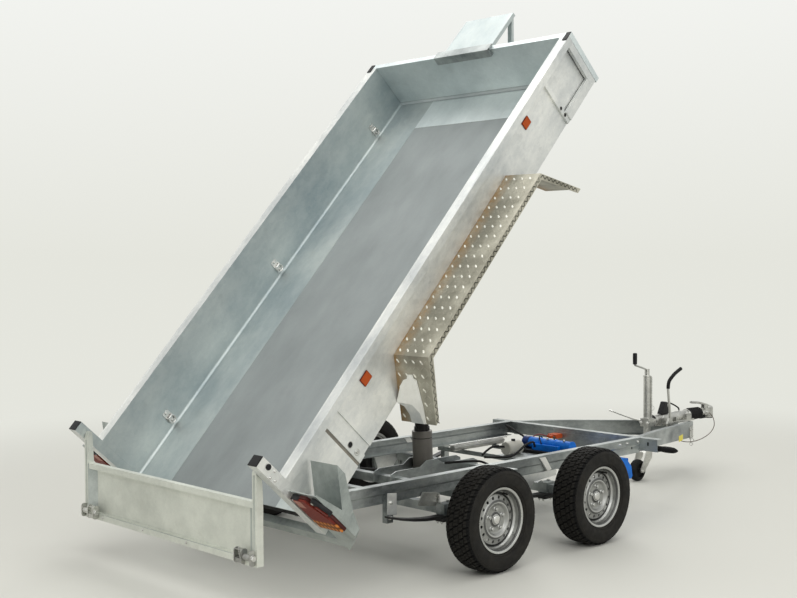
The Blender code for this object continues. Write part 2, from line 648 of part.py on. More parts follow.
def mudguards():
    """Chequer plate guards: a flat top, a sloped lobe at each end and a lip along the outside."""
    top, t = 0.161, 0.0035
    run = [(0.560, -0.110), (0.7727, top), (2.045, top), (2.231, -0.146)]
    inner = [(0.560 + 0.0042, -0.110), (0.7727 + 0.0026, top - t), (2.045 - 0.0022, top - t),
             (2.231 - 0.0042, -0.146)]
    lip = [(0.560 + 0.030, -0.109), (0.7727 + 0.020, top - 0.030), (2.045 - 0.019, top - 0.030),
           (2.231 - 0.034, -0.145)]
    for word, side in SIDES:
        sheet = prism(run + inner[::-1], "Y", RAIL_OUTER - 0.0197, GUARD_OUTER)
        edge = prism([(u + (0.0005 if u < 1 else -0.0005), w - 0.0005) for u, w in run] + lip[::-1],
                     "Y", GUARD_OUTER - 0.0035, GUARD_OUTER + 0.0005)
        bed_part("mudguard_" + word, "chequer", [sided(sheet, side), sided(edge, side)])


def bucket_rest():
    """Shelf ahead of the front wall for a digger's bucket, with a hook over the rail and two struts."""
    right, left, hook_left = -0.235, 0.165, 0.200
    low = WALL_TOP + FIT
    top = low + 0.005
    back, tip = BED_FRONT_U - 0.0005, 3.360
    hook = [(back - 0.004, top + 0.003), (back - 0.004, low - 0.032), (back, low - 0.032), (back, low),
            (back + 0.034, low), (back + 0.034, top + 0.003)]
    shapes = [prism(hook, "Y", right, hook_left)]
    shapes.append(box(back + 0.020, tip, right + 0.001, left, low + 0.0005, top))
    for y in (right + 0.0005, left - 0.0035):
        flange = [(BED_FRONT_U + 0.046, top - 0.001), (BED_FRONT_U + 0.046, low - 0.020),
                  (tip - 0.001, low - 0.020), (tip - 0.001, top - 0.001)]
        shapes.append(prism(flange, "Y", y, y + 0.004))
    shapes.append(box(tip - 0.004, tip + 0.0005, right, left + 0.001, low - 0.021, top - 0.0005))
    for y in (right + 0.003, left - 0.035):
        strut = [(tip - 0.036, low - 0.010), (tip - 0.008, low - 0.010), (BED_FRONT_U + 0.012, 0.012),
                 (BED_FRONT_U + SHEET + FIT, 0.012), (BED_FRONT_U + SHEET + FIT, 0.040)]
        shapes.append(prism(strut, "Y", y, y + 0.032))
    bed_part("bucket_rest", "galvanised", shapes)


def rear_lights():
    """Lamp carriers beside the rear posts, each an open box, joined by a bar under the floor."""
    back = -0.132
    inner, outer = RAIL_OUTER - 0.0007, RAIL_OUTER + 0.191
    bar = [(back, -0.205), (back + 0.004, -0.205), (back + 0.004, -0.139), (back + 0.040, -0.139),
           (back + 0.040, -0.135), (back, -0.135)]
    shapes = [prism(bar, "Y", -RAIL_OUTER - 0.030, RAIL_OUTER + 0.030)]
    plate = [(inner, 0.272), (outer, 0.272), (outer, -0.054), (outer - 0.181, -0.227), (inner, -0.227)]
    roof = [(back + 0.001, 0.0965), (back + 0.001, 0.093), (back + 0.046, 0.093), (back + 0.1825, 0.255),
            (back + 0.181, 0.262), (back + 0.0445, 0.0965)]
    cheek = [(back - 0.0010, 0.2725), (back + 0.008, 0.2725), (back + 0.045, 0.0975),
             (back + 0.1815, 0.2630), (back + 0.181, 0.197), (back + 0.081, 0.039),
             (back + 0.0385, -0.0535), (back - 0.0010, -0.0535)]
    flange = [(outer - 0.002, -0.0540), (outer + 0.0005, -0.0542), (outer - 0.1795, -0.2275),
              (outer - 0.1835, -0.2275)]
    for side in (-1, 1):
        verts, faces = prism([(side * y, z) for y, z in plate], "X", back - 0.0005, back + 0.0035)
        shapes.append((verts, faces))
        y0, y1 = sorted((side * RAIL_OUTER + side * 0.0005, side * outer))
        shapes.append(prism(roof, "Y", y0, y1))
        y0, y1 = sorted((side * (outer - 0.003), side * (outer + 0.0005)))
        shapes.append(prism(cheek, "Y", y0, y1))
        shapes.append(prism([(side * y, z) for y, z in flange], "X", back + 0.0005, back + 0.0385))
        for foot, head in ((-0.174, -0.230), (-0.146, -0.090)):
            foot, head = side * (RAIL_OUTER + foot), side * (RAIL_OUTER + head)
            shapes.append(rod((back + 0.018, foot, -0.138), (back + 0.044, head, -0.0560), 0.010, 8))
    bed_part("lamp_bar", "galvanised", shapes)
    cut = 0.120
    face = [(outer - 0.172, 0.257), (outer - 0.075, 0.257), (outer - 0.0034, cut), (outer - 0.0034, 0.014),
            (outer - 0.172, 0.014)]
    # Marker lamp beside the slanted edge of the tail lamp, as a long oval
    lean = math.atan2(0.0716, 0.137)
    marker = []
    for k in range(12):
        angle = 2 * math.pi * k / 12
        long = 0.042 * math.copysign(1, math.sin(angle) or 1) + 0.0195 * math.sin(angle)
        wide = 0.0195 * math.cos(angle)
        marker.append((outer - 0.0195 + wide * math.cos(lean) - long * math.sin(lean),
                       0.1975 + wide * math.sin(lean) + long * math.cos(lean)))
    for word, side in SIDES:
        lamp = prism(face, "X", back - 0.030, back - 0.0008)
        bed_part("tail_lamp_" + word, "lamp_red", [sided(lamp, side)])
        marker_lamp = prism(marker, "X", back - 0.034, back - 0.0013)
        bed_part("marker_lamp_" + word, "black_plastic", [sided(marker_lamp, side)])


# Tailgate, drawn from its pins

def tailgate():
    half, drop, top = GATE_HALF, GATE_DROP, GATE_PANEL_TOP
    shapes = [box(0.008, 0.012, -half + 0.004, half - 0.004, -drop + 0.004, -top)]
    # Frame around the panel: two posts that reach up to the pins and two rails
    shapes.append(box(-0.0180, 0.0165, -half + 0.030, half - 0.030, -drop, -drop + 0.034))
    shapes.append(box(-0.0175, 0.0160, -half + 0.030, half - 0.030, -top - 0.030, -top + 0.0005))
    for side in (-1, 1):
        y0, y1 = sorted((side * (half - 0.032), side * half))
        post = [(-0.0215, -drop - 0.0005), (0.0175, -drop - 0.0005), (0.0175, -top + 0.010),
                (0.0080, 0.012), (-0.0080, 0.018), (-0.0215, -0.020)]
        shapes.append(prism(post, "Y", y0, y1))
        y0, y1 = sorted((side * (half - 0.020), side * (POST_INNER - 0.0004)))
        shapes.append(rod((0.0, y0, 0.0), (0.0, y1, 0.0), 0.010, 10))
        y0, y1 = sorted((side * (half - 0.105), side * (half - 0.035)))
        shapes.append(box(-0.034, -0.017, y0, y1, -drop + 0.004, -drop + 0.052))
        shapes.append(rod((-0.028, y0 - 0.01, -drop + 0.030), (-0.028, y1 + 0.01, -drop + 0.030), 0.010, 10))
    part("tailgate", "galvanised", shapes, parent=GATE)


# Lifting ram

def ram():
    """Barrel on its trunnions and nested tubes up to the eye under the bed."""
    eye_x, eye_z = bed_place(EYE_U, EYE_W)
    reach = math.hypot(eye_x - RAM_X, eye_z - RAM_Z)
    lean = math.degrees(math.atan2(eye_x - RAM_X, eye_z - RAM_Z))
    stroke = (reach - RAM_CLOSED) / STAGES
    frame = joint_frame("ram_trunnion", (RAM_X, 0, RAM_Z), lean)
    mouth = RAM_CLOSED - 0.060
    radii = [0.0425, 0.0350, 0.0275, 0.0200]
    bore = [r + 0.0009 for r in radii[1:]]
    shapes = [rod((0, 0, -0.030), (0, 0, mouth), radii[0], 24),
              rod((0, -0.0515, 0), (0, 0.0515, 0), 0.020, 14)]
    part("ram_barrel", "ram_grey", shapes,
         holes=[rod((0, 0, RAM_FLOOR), (0, 0, mouth + 0.01), bore[0], 24)], parent=frame, smooth=True)
    for k in range(1, STAGES + 1):
        base = stroke * k + RAM_FLOOR + 0.012 * k - 0.006
        top = stroke * k + mouth + (0.008 * k if k < STAGES else 0.020)
        shapes = [rod((0, 0, base), (0, 0, top), radii[k], 24)]
        holes = []
        if k < STAGES:
            holes.append(rod((0, 0, base + 0.006), (0, 0, top + 0.01), bore[k], 24))
        else:
            shapes.append(rod((0, -0.036, reach), (0, 0.036, reach), 0.020, 14))
            shapes.append(rod((0, 0, top - 0.004), (0, 0, reach - 0.004), 0.012, 12))
        part("ram_stage_%d" % k, "ram_steel", shapes, holes, parent=frame, smooth=True)


# Hydraulic unit and loose fittings on the chassis

def fittings():
    tray_x0, tray_x1 = 1.500, 1.690
    seat = UNIT_SEAT
    low, high = 1.1945, 1.9297
    tray = [box(1.285, 1.710, -0.300, 0.120, seat - 0.004, seat),
            box(high - 0.004, high, -0.300, 0.120, seat - 0.004, 0.430)]
    for y in (-0.270, 0.070):
        tray.append(box(low + 0.002, high - 0.001, y - 0.020, y + 0.020, seat - 0.0038, seat + 0.0001))
    tray += [box(1.500, 1.540, 0.118, 0.365, seat - 0.0036, seat - 0.0002),
             box(1.518, 1.522, 0.300, 0.364, seat - 0.002, 0.3625)]
    part("unit_tray", "galvanised", tray)
    part("battery_box", "black_plastic", [box(tray_x0, tray_x1, -0.290, 0.110, seat + FIT, UNIT_TOP - FIT)])
    part("pump_motor", "blue_plastic",
         [rod((1.590, -0.285, UNIT_TOP + 0.0374), (1.590, 0.100, UNIT_TOP + 0.0374), 0.037, 20),
          box(1.525, 1.665, -0.210, 0.010, UNIT_TOP, UNIT_TOP + 0.040)], smooth=True)
    tank_y, tank_r = 0.060, 0.045
    tank_z = seat + tank_r + FIT
    part("oil_tank", "white_plastic",
         [rod((1.315, tank_y, tank_z), (1.450, tank_y, tank_z), tank_r, 20)], smooth=True)
    part("spare_cylinder", "zinc_plate",
         [rod((1.080, 0.330, 0.3850), (1.600, 0.330, 0.3850), 0.022, 16)], smooth=True)
    inner, outer = -BEAM_OUTER - 0.064, -BEAM_OUTER - 0.274
    plug = [rod((1.958, inner, 0.4004), (1.958, outer + 0.020, 0.4004), 0.018, 14),
            rod((1.958, inner - 0.080, 0.4000), (1.958, outer, 0.4000), 0.021, 14)]
    part("plug", "black_plastic", plug, smooth=True)
    chock = [(1.560, 0.3627), (1.680, 0.3627), (1.738, 0.305), (1.752, 0.240), (1.738, 0.222),
             (1.700, 0.225), (1.560, 0.300)]
    part("wheel_chock", "blue_plastic", [prism(chock, "Y", -BEAM_OUTER - 0.064, -BEAM_OUTER + 0.016)])
    stops = [(3.690, -0.0350, 0.415), (3.700, -0.064, 0.377), (3.672, -0.092, 0.322),
             (3.595, -0.108, 0.276), (3.480, -0.116, 0.246), (3.350, -0.116, 0.232),
             (3.225, -0.110, 0.240), (3.110, -0.098, 0.276), (3.060, -0.091, 0.3278)]
    part("breakaway_cable", "zinc_plate", [sweep(smooth_run(stops, 5), 0.003, 6)], smooth=True)


clear_scene()
BED = joint_frame("bed_pivot", (PIVOT_X, 0, PIVOT_Z), -TIP_DEG)
GATE_X, GATE_Z = bed_place(PIN_U, PIN_W)
GATE = joint_frame("tailgate_pins", (GATE_X, 0, GATE_Z))
chassis_beams()
cross_members()
drawbar()
overrun()
jockey()
running_gear()
wheels()
bed_tub()
underframe()
mudguards()
bucket_rest()
rear_lights()
tailgate()
ram()
fittings()
for ob in bpy.data.objects:
    if ob.parent is None:
        ob.location.x -= ORIGIN_X
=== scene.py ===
"""Looks for the rear tipping tandem trailer: finishes, small parts, studio and camera.

Places along X are worked out from the rear axle, as in the part's source, and moved by SHIFT_X into
the frame. Bed places are u forward, v left and w up from the tub floor's reference point.
"""
import json
import math

import bmesh
import bpy
from mathutils import Matrix, Vector

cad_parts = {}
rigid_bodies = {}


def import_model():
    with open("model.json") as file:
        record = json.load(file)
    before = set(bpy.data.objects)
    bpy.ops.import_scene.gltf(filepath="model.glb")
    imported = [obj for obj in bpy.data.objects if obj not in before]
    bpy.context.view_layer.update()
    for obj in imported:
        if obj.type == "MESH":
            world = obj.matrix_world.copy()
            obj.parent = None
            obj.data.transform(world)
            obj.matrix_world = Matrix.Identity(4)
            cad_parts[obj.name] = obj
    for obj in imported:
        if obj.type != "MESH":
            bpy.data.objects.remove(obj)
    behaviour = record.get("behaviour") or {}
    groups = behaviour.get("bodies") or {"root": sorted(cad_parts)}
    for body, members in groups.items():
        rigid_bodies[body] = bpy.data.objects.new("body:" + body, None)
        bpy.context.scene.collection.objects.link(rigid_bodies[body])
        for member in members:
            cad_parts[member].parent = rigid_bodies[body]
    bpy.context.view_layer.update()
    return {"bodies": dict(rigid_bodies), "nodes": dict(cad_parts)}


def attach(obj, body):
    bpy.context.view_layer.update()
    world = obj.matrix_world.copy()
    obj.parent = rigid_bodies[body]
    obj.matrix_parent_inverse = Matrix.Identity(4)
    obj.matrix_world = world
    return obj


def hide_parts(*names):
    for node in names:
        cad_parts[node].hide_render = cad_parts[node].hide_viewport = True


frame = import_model()
NODES = frame["nodes"]

SHIFT_X = 1.153
TIP = math.radians(47.42)
BED_REF = (-0.985, 0.502)
GATE_PIN = (-0.128, 0.428)
BEAM_OUTER = 0.586
GATE_DROP = 0.457
COUPLING_Z = 0.422
HUB_Z = 0.2805
HUB_Y = 0.9715
AXLES = (("rear", 0.0), ("front", 0.883))
SIDES = (("right", -1), ("left", 1))
RAIL_OUTER = 0.85
BED_OUTER = RAIL_OUTER - 0.02
BED_INNER = RAIL_OUTER - 0.067
WALL_TOP = 0.326
GUARD_OUTER = RAIL_OUTER + 0.225
POST_TOP = 0.5
SOFT_EDGE = 0.0012

# The ram's foot with its lean, the jockey wheel's column and the ends of the drawbar's arms
RAM_FOOT = (0.466, 0.0, 0.4)
RAM_LEAN_DEG = -2.5324
COLUMN = (2.812, -0.04)
ARM_ROOT, ARM_TIP = (1.9853, 0.56), (3.4, 0.07)

# Camera, fitted to the photograph
EYE = (-4.7439 - SHIFT_X, -5.1619, 1.6726)
YAW_DEG, PITCH_DEG, ROLL_DEG = 45.8903, -2.0301, -0.1823
LENS_MM, SENSOR_MM = 54.047, 36.0

# Tone of the studio where its floor meets the wall
HORIZON = (0.78, 0.785, 0.725)


# Places

def at(x, y, z):
    return Vector((x - SHIFT_X, y, z))


def on_bed(u, v, w):
    return at(BED_REF[0] + u * math.cos(TIP) - w * math.sin(TIP), v,
              BED_REF[1] + u * math.sin(TIP) + w * math.cos(TIP))


GATE = on_bed(GATE_PIN[0], 0.0, GATE_PIN[1])


def on_gate(x, y, z):
    return GATE + Vector((x, y, z))


def on_hub(x, side):
    """Places of a wheel from its hub, with y outward."""
    return lambda a, b, c: at(x + a, side * (HUB_Y + b), HUB_Z + c)


# Camera

def aim_camera():
    yaw, pitch, roll = (math.radians(a) for a in (YAW_DEG, PITCH_DEG, ROLL_DEG))
    ahead = Vector((math.cos(yaw) * math.cos(pitch), math.sin(yaw) * math.cos(pitch), math.sin(pitch)))
    right = Vector((math.sin(yaw), -math.cos(yaw), 0.0))
    up = right.cross(ahead)
    side = math.cos(roll) * right + math.sin(roll) * up
    top = math.cos(roll) * up - math.sin(roll) * right
    data = bpy.data.cameras.new("camera")
    data.lens = LENS_MM
    data.sensor_width = SENSOR_MM
    data.sensor_fit = "HORIZONTAL"
    data.dof.use_dof = False
    camera = bpy.data.objects.new("camera", data)
    bpy.context.scene.collection.objects.link(camera)
    turn = Matrix((side, top, -ahead)).transposed().to_4x4()
    camera.matrix_world = Matrix.Translation(EYE) @ turn
    bpy.context.scene.camera = camera


# Materials

class Nodes:
    """A node tree, with short ways to add the nodes that are used most."""

    def __init__(self, tree):
        self.tree = tree

    def feed(self, socket, value):
        if isinstance(value, bpy.types.NodeSocket):
            self.tree.links.new(value, socket)
        else:
            socket.default_value = value

    def add(self, kind, inputs=None, **settings):
        node = self.tree.nodes.new("ShaderNode" + kind)
        for name, value in settings.items():
            setattr(node, name, value)
        for socket, value in (inputs or {}).items():
            self.feed(node.inputs[socket], value)
        return node

    def ramp(self, value, low, high, to_low=0.0, to_high=1.0):
        return self.add("MapRange", {"From Min": low, "From Max": high, "To Min": to_low, "To Max": to_high,
                                     "Value": value}).outputs["Result"]

    def sum(self, one, two, kind="ADD"):
        return self.add("Math", {0: one, 1: two}, operation=kind).outputs[0]

    def mix(self, factor, one, two):
        node = self.add("Mix", data_type="RGBA")
        self.feed(node.inputs["Factor"], factor)
        sockets = [s for s in node.inputs if s.type == "RGBA"]
        for socket, value in zip(sockets, (one, two)):
            self.feed(socket, (*value, 1.0) if isinstance(value, tuple) else value)
        return [s for s in node.outputs if s.type == "RGBA"][0]

    def seen(self):
        """1 for the camera's own rays, also in a reflection or through glass."""
        path = self.add("LightPath").outputs
        seen = self.sum(path["Is Camera Ray"], path["Is Glossy Ray"], "MAXIMUM")
        return self.sum(seen, path["Is Transmission Ray"], "MAXIMUM")


class Look(Nodes):
    """One material: a shader, and patterns that follow the piece's own places in metres."""

    def __init__(self, name, colour, rough, metal=0.0, lean=0.0, **more):
        self.mat = bpy.data.materials.new(name)
        self.mat.use_nodes = True
        super().__init__(self.mat.node_tree)
        self.shader = self.tree.nodes["Principled BSDF"]
        self.put("Base Color", (*colour, 1.0))
        self.put("Roughness", rough)
        self.put("Metallic", metal)
        for socket, value in more.items():
            self.put(socket.replace("_", " "), value)
        self.places = self.add("TexCoord").outputs["Object"]
        if lean:
            self.places = self.stretched((1.0, 1.0, 1.0), (0.0, lean, 0.0))

    def put(self, socket, value):
        self.feed(self.shader.inputs[socket], value)

    def stretched(self, scale, turn=(0.0, 0.0, 0.0)):
        return self.add("Mapping", {"Scale": scale, "Rotation": turn,
                                    "Vector": self.places}).outputs["Vector"]

    def noise(self, scale, detail=4.0, rough=0.55, stretch=(1.0, 1.0, 1.0)):
        return self.add("TexNoise", {"Scale": scale, "Detail": detail, "Roughness": rough,
                                     "Vector": self.stretched(stretch)}).outputs["Fac"]

    def cells(self, scale, stretch=(1.0, 1.0, 1.0)):
        node = self.add("TexVoronoi", {"Scale": scale, "Vector": self.stretched(stretch)})
        return self.add("SeparateColor", {"Color": node.outputs["Color"]}).outputs["Red"]

    def bump(self, height, strength, distance=0.001):
        self.put("Normal", self.add("Bump", {"Strength": strength, "Distance": distance,
                                             "Height": height}).outputs["Normal"])


def zinc(name, pale, dark, rough, metal, flake=55.0, patch=2.6, dull=(0.3, 0.31, 0.3), lean=0.0,
         contrast=0.5):
    """Hot dip zinc: crystal flakes, cloudy patches, runs along the sheet and dull stains."""
    look = Look(name, pale, rough, metal, lean)
    flakes = look.cells(flake, stretch=(0.8, 1.0, 1.25))
    fine = look.cells(flake * 2.7)
    cloud = look.noise(patch, 4.0, 0.5)
    blot = look.noise(patch * 4.2, 4.0, 0.55, stretch=(0.45, 1.0, 1.0))
    streak = look.noise(patch * 3.0, 4.0, 0.5, stretch=(0.16, 1.0, 1.6))
    mix = look.sum(look.ramp(flakes, 0.0, 1.0, 0.42, 0.58), look.ramp(fine, 0.0, 1.0, -0.04, 0.04))
    mix = look.sum(mix, look.ramp(cloud, 0.36, 0.64, -0.62 * contrast, 0.62 * contrast))
    mix = look.sum(mix, look.ramp(blot, 0.36, 0.64, -0.26 * contrast, 0.26 * contrast))
    mix = look.sum(mix, look.ramp(streak, 0.35, 0.65, -0.16 * contrast, 0.16 * contrast))
    mix = look.ramp(mix, 0.0, 1.0)
    colour = look.mix(mix, dark, pale)
    stain = look.ramp(look.noise(9.0, 5.0, 0.6), 0.58, 0.78, 0.0, 0.3)
    look.put("Base Color", look.mix(stain, colour, dull))
    look.put("Roughness", look.sum(look.ramp(flakes, 0.0, 1.0, rough - 0.05, rough + 0.05),
                                   look.ramp(blot, 0.3, 0.7, 0.08, -0.06)))
    look.bump(look.sum(look.ramp(look.noise(26.0, 3.0), 0.0, 1.0, 0.0, 0.7),
                       look.ramp(flakes, 0.0, 1.0, 0.0, 0.3)), 0.2, 0.001)
    return look.mat


def plain(name, colour, rough, metal=0.0, grain=240.0, strength=0.15, shift=0.12, **more):
    """Paint, plastic or rubber with a fine grain and a slight change of tone."""
    look = Look(name, colour, rough, metal, **more)
    tone = look.ramp(look.noise(7.0, 5.0), 0.3, 0.7)
    low = tuple(c * (1.0 - shift) for c in colour)
    high = tuple(min(1.0, c * (1.0 + shift) + 0.004) for c in colour)
    look.put("Base Color", look.mix(tone, low, high))
    look.put("Roughness", look.ramp(look.noise(19.0, 4.0), 0.3, 0.7, max(0.03, rough - 0.07), rough + 0.07))
    look.bump(look.noise(grain, 2.0), strength, 0.0004)
    return look.mat


def rubber_look(name, colour, dust):
    look = Look(name, colour, 0.78, Specular_IOR_Level=0.22)
    grime = look.ramp(look.noise(14.0, 6.0, 0.65), 0.42, 0.75, 0.0, 0.55)
    look.put("Base Color", look.mix(grime, colour, dust))
    look.put("Roughness", look.ramp(look.noise(40.0, 3.0), 0.3, 0.7, 0.66, 0.86))
    look.bump(look.noise(320.0, 2.0), 0.25, 0.0004)
    return look.mat


def lens_look(name, colour, rings, dark=0.45):
    """Moulded lens: coloured plastic with rows of small prisms."""
    look = Look(name, colour, 0.5, Specular_IOR_Level=0.1)
    waves = [look.add("TexWave", {"Scale": rings, "Vector": look.places}, bands_direction=direction)
             for direction in ("Y", "Z")]
    grid = look.sum(waves[0].outputs["Fac"], waves[1].outputs["Fac"], "MULTIPLY")
    deep = tuple(c * dark for c in colour)
    tone = look.sum(grid, look.ramp(look.noise(30.0, 3.0), 0.3, 0.7, -0.12, 0.12))
    look.put("Base Color", look.mix(look.ramp(tone, 0.0, 0.8), deep, colour))
    look.bump(grid, 0.35, 0.0012)
    return look.mat


def make_looks():
    dim = {"Specular_IOR_Level": 0.22}
    looks = {
        "zinc": zinc("hot_zinc", (0.83, 0.835, 0.8), (0.48, 0.505, 0.51), 0.42, 0.66, lean=TIP),
        "zinc_frame": zinc("hot_zinc_frame", (0.5, 0.53, 0.52), (0.13, 0.145, 0.15), 0.38, 0.8, 48.0, 2.2,
                           (0.2, 0.21, 0.2)),
        # Darker copy of the zinc: painted shade on the faces inside the tub, the floor bends and the corner
        # seams; the bucket rest uses it too
        "zinc_inner": zinc("hot_zinc_shaded_walls", (0.58, 0.62, 0.6), (0.3, 0.36, 0.38), 0.44, 0.68, 42.0, 1.5,
                           (0.38, 0.4, 0.38), TIP),
        "zinc_front": zinc("hot_zinc_front", (0.74, 0.8, 0.8), (0.5, 0.56, 0.57), 0.42, 0.7, 42.0, 1.5,
                           (0.48, 0.51, 0.5), TIP),
        # Darker, duller zinc for the front bend: painted shade in the crease
        "zinc_shaded_bend": zinc("hot_zinc_shaded_bend", (0.46, 0.5, 0.5), (0.3, 0.35, 0.36), 0.62, 0.3, 42.0, 1.5,
                          (0.38, 0.4, 0.38), TIP),
        # Darker copy of the zinc: painted shade on the lamp bar and on the gate's dark strips
        "zinc_bar": zinc("hot_zinc_shaded_bar", (0.56, 0.6, 0.58), (0.26, 0.29, 0.28), 0.42, 0.7, 60.0, 3.0,
                         (0.28, 0.3, 0.28), TIP),
        "zinc_gate": zinc("hot_zinc_gate", (0.76, 0.78, 0.71), (0.52, 0.54, 0.49), 0.5, 0.55, 70.0, 2.4,
                          (0.4, 0.39, 0.34), contrast=0.4),
        "floor": zinc("floor_sheet", (0.34, 0.37, 0.37), (0.235, 0.26, 0.26), 0.58, 0.4, 90.0, 1.6,
                      (0.24, 0.25, 0.25), TIP, 0.35),
        "plate": zinc("bright_zinc_plate", (0.66, 0.66, 0.62), (0.24, 0.24, 0.23), 0.34, 0.82, 120.0, 5.0,
                      (0.3, 0.28, 0.24), contrast=0.4),
        "bolt": plain("bolt_zinc", (0.62, 0.62, 0.6), 0.28, 0.95, 200.0, 0.1, 0.18),
        "rim": plain("rim_silver", (0.46, 0.465, 0.45), 0.32, 0.85, 500.0, 0.06, 0.08),
        "spring": plain("spring_paint", (0.02, 0.02, 0.02), 0.46, 0.0, 160.0, 0.3, 0.3, **dim),
        "ram_grey": plain("ram_grey", (0.15, 0.14, 0.125), 0.4, 0.45, 220.0, 0.12, 0.16),
        "ram_dark": plain("ram_dark", (0.016, 0.015, 0.014), 0.24, 0.3, 220.0, 0.05, 0.16, **dim),
        "white_zinc": zinc("bright_bracket", (0.97, 0.97, 0.93), (0.74, 0.73, 0.68), 0.4, 0.4, lean=TIP),
        "tyre": rubber_look("tyre_rubber", (0.011, 0.0104, 0.0092), (0.026, 0.023, 0.018)),
        "rubber": rubber_look("soft_rubber", (0.0065, 0.0065, 0.0065), (0.016, 0.015, 0.014)),
        "black": plain("black_plastic", (0.008, 0.008, 0.009), 0.5, 0.0, 420.0, 0.3, 0.25, **dim),
        "blue": plain("blue_plastic", (0.0, 0.15, 0.62), 0.42, 0.0, 360.0, 0.2, 0.3, **dim),
        "deep_blue": plain("deep_blue_plastic", (0.001, 0.018, 0.115), 0.4, 0.0, 360.0, 0.2, 0.22, **dim),
        "orange": plain("orange_plastic", (0.46, 0.075, 0.016), 0.4, 0.0, 360.0, 0.15, 0.15, **dim),
        "red_wire": plain("red_wire", (0.16, 0.008, 0.008), 0.35, 0.0, 360.0, 0.1, 0.15),
        "white": plain("white_plastic", (0.46, 0.45, 0.4), 0.44, 0.0, 260.0, 0.12, 0.1, **dim),
        "sticker": plain("yellow_label", (0.78, 0.66, 0.04), 0.45, 0.0, 300.0, 0.06, 0.1),
        "red_lens": lens_look("red_lens", (0.23, 0.04, 0.028), 34.0, 0.6),
        "deep_red": plain("lamp_edge", (0.06, 0.01, 0.008), 0.5, 0.0, 300.0, 0.06, 0.2, **dim),
        "orange_lens": lens_look("orange_lens", (0.6, 0.21, 0.05), 12.0, 0.22),
        "clear_lens": lens_look("clear_lens", (0.62, 0.3, 0.23), 52.0, 0.5),
        "side_lens": lens_look("side_lens", (0.6, 0.11, 0.026), 60.0, 0.62),
        # Near black for the tread's grooves: painted shade
        "groove": plain("tread_shaded_groove", (0.0012, 0.0012, 0.0011), 0.9, 0.0, 300.0, 0.05, 0.1, **dim),
        "groove_shade": plain("rib_groove", (0.2, 0.185, 0.155), 0.55, 0.3, 200.0, 0.1, 0.25),
        "cable": plain("cable_sleeve", (0.08, 0.052, 0.036), 0.45, 0.2, 300.0, 0.1, 0.15),
        # Darker rim looks for rings of the wheel: painted shade
        "rim_deep_shade": plain("rim_shade", (0.115, 0.117, 0.113), 0.46, 0.6, 500.0, 0.06, 0.1),
        "rim_half_shade": plain("rim_shaded_disc", (0.33, 0.334, 0.322), 0.36, 0.8, 500.0, 0.06, 0.1),
        "tread_dark": plain("chequer_edge", (0.1, 0.095, 0.08), 0.5, 0.5, 200.0, 0.1, 0.15),
    }
    chequer = Look("chequer_alloy", (0.66, 0.62, 0.53), 0.42, 0.7, TIP)
    tone = chequer.ramp(chequer.noise(5.0, 4.0, 0.55), 0.38, 0.62)
    tone = chequer.mix(tone, (0.26, 0.25, 0.2), (0.5, 0.48, 0.4))
    # Brown tone on the strip beside the tub: a painted reflection
    split = chequer.add("SeparateXYZ", {"Vector": chequer.places})
    tub_reflection = chequer.ramp(chequer.sum(split.outputs["Y"], 0.0, "ABSOLUTE"), 0.838, 0.915, 1.0, 0.0)
    tub_reflection = chequer.sum(tub_reflection, chequer.ramp(chequer.noise(30.0, 5.0, 0.6), 0.4, 0.6, 0.45, 0.95), "MULTIPLY")
    chequer.put("Base Color", chequer.mix(tub_reflection, tone, (0.34, 0.21, 0.09)))
    chequer.put("Roughness", chequer.ramp(chequer.noise(60.0, 4.0), 0.3, 0.7, 0.38, 0.54))
    chequer.bump(chequer.noise(120.0, 3.0), 0.12, 0.0006)
    looks["chequer"] = chequer.mat
    # Near white look for every other bar of one turn: a painted glint
    bars = Look("chequer_bars", (0.9, 0.88, 0.8), 0.3, 0.5, TIP)
    tone = bars.ramp(bars.noise(40.0, 4.0, 0.6), 0.35, 0.65)
    bars.put("Base Color", bars.mix(tone, (0.8, 0.78, 0.68), (0.96, 0.95, 0.88)))
    bars.put("Roughness", bars.ramp(bars.noise(90.0, 3.0), 0.3, 0.7, 0.24, 0.36))
    looks["chequer_bars"] = bars.mat
    return looks


# Shapes: corner points and faces

def box(x0, x1, y0, y1, z0, z1):
    verts = [(x, y, z) for x in (x0, x1) for y in (y0, y1) for z in (z0, z1)]
    faces = [(0, 1, 3, 2), (4, 6, 7, 5), (0, 4, 5, 1), (2, 3, 7, 6), (0, 2, 6, 4), (1, 5, 7, 3)]
    return verts, faces


WAYS = {"X": (1, 0, 0), "Y": (0, 1, 0), "Z": (0, 0, 1), "-X": (-1, 0, 0), "-Y": (0, -1, 0)}


def slab(one, two):
    """Solid between two outlines of as many points."""
    n = len(one)
    faces = [tuple(range(n)), tuple(range(2 * n - 1, n - 1, -1))]
    faces += [(i, (i + 1) % n, n + (i + 1) % n, n + i) for i in range(n)]
    return [*one, *two], faces


def prism(outline, axis, start, end):
    """Outline across an axis: y, z across X, x, z across Y and x, y across Z."""
    place = {"X": lambda p, q, s: (s, p, q), "Y": lambda p, q, s: (p, s, q), "Z": lambda p, q,
             s: (p, q, s),}[axis]
    return slab(*([place(p, q, s) for p, q in outline] for s in (start, end)))


def skin(rows, sides, joined=False):
    """Faces over rows of points round a shape, with its ends capped or joined to each other."""
    faces = []
    for j in range(rows if joined else rows - 1):
        m = (j + 1) % rows
        for i in range(sides):
            k = (i + 1) % sides
            faces.append((j * sides + i, j * sides + k, m * sides + k, m * sides + i))
    if not joined:
        last = (rows - 1) * sides
        faces += [tuple(range(sides)), tuple(range(last + sides - 1, last - 1, -1))]
    return faces


def basis(start, end):
    along = (Vector(end) - Vector(start)).normalized()
    guide = Vector((0, 0, 1)) if abs(along.z) < 0.9 else Vector((0, 1, 0))
    first = along.cross(guide).normalized()
    return along, first, along.cross(first).normalized()


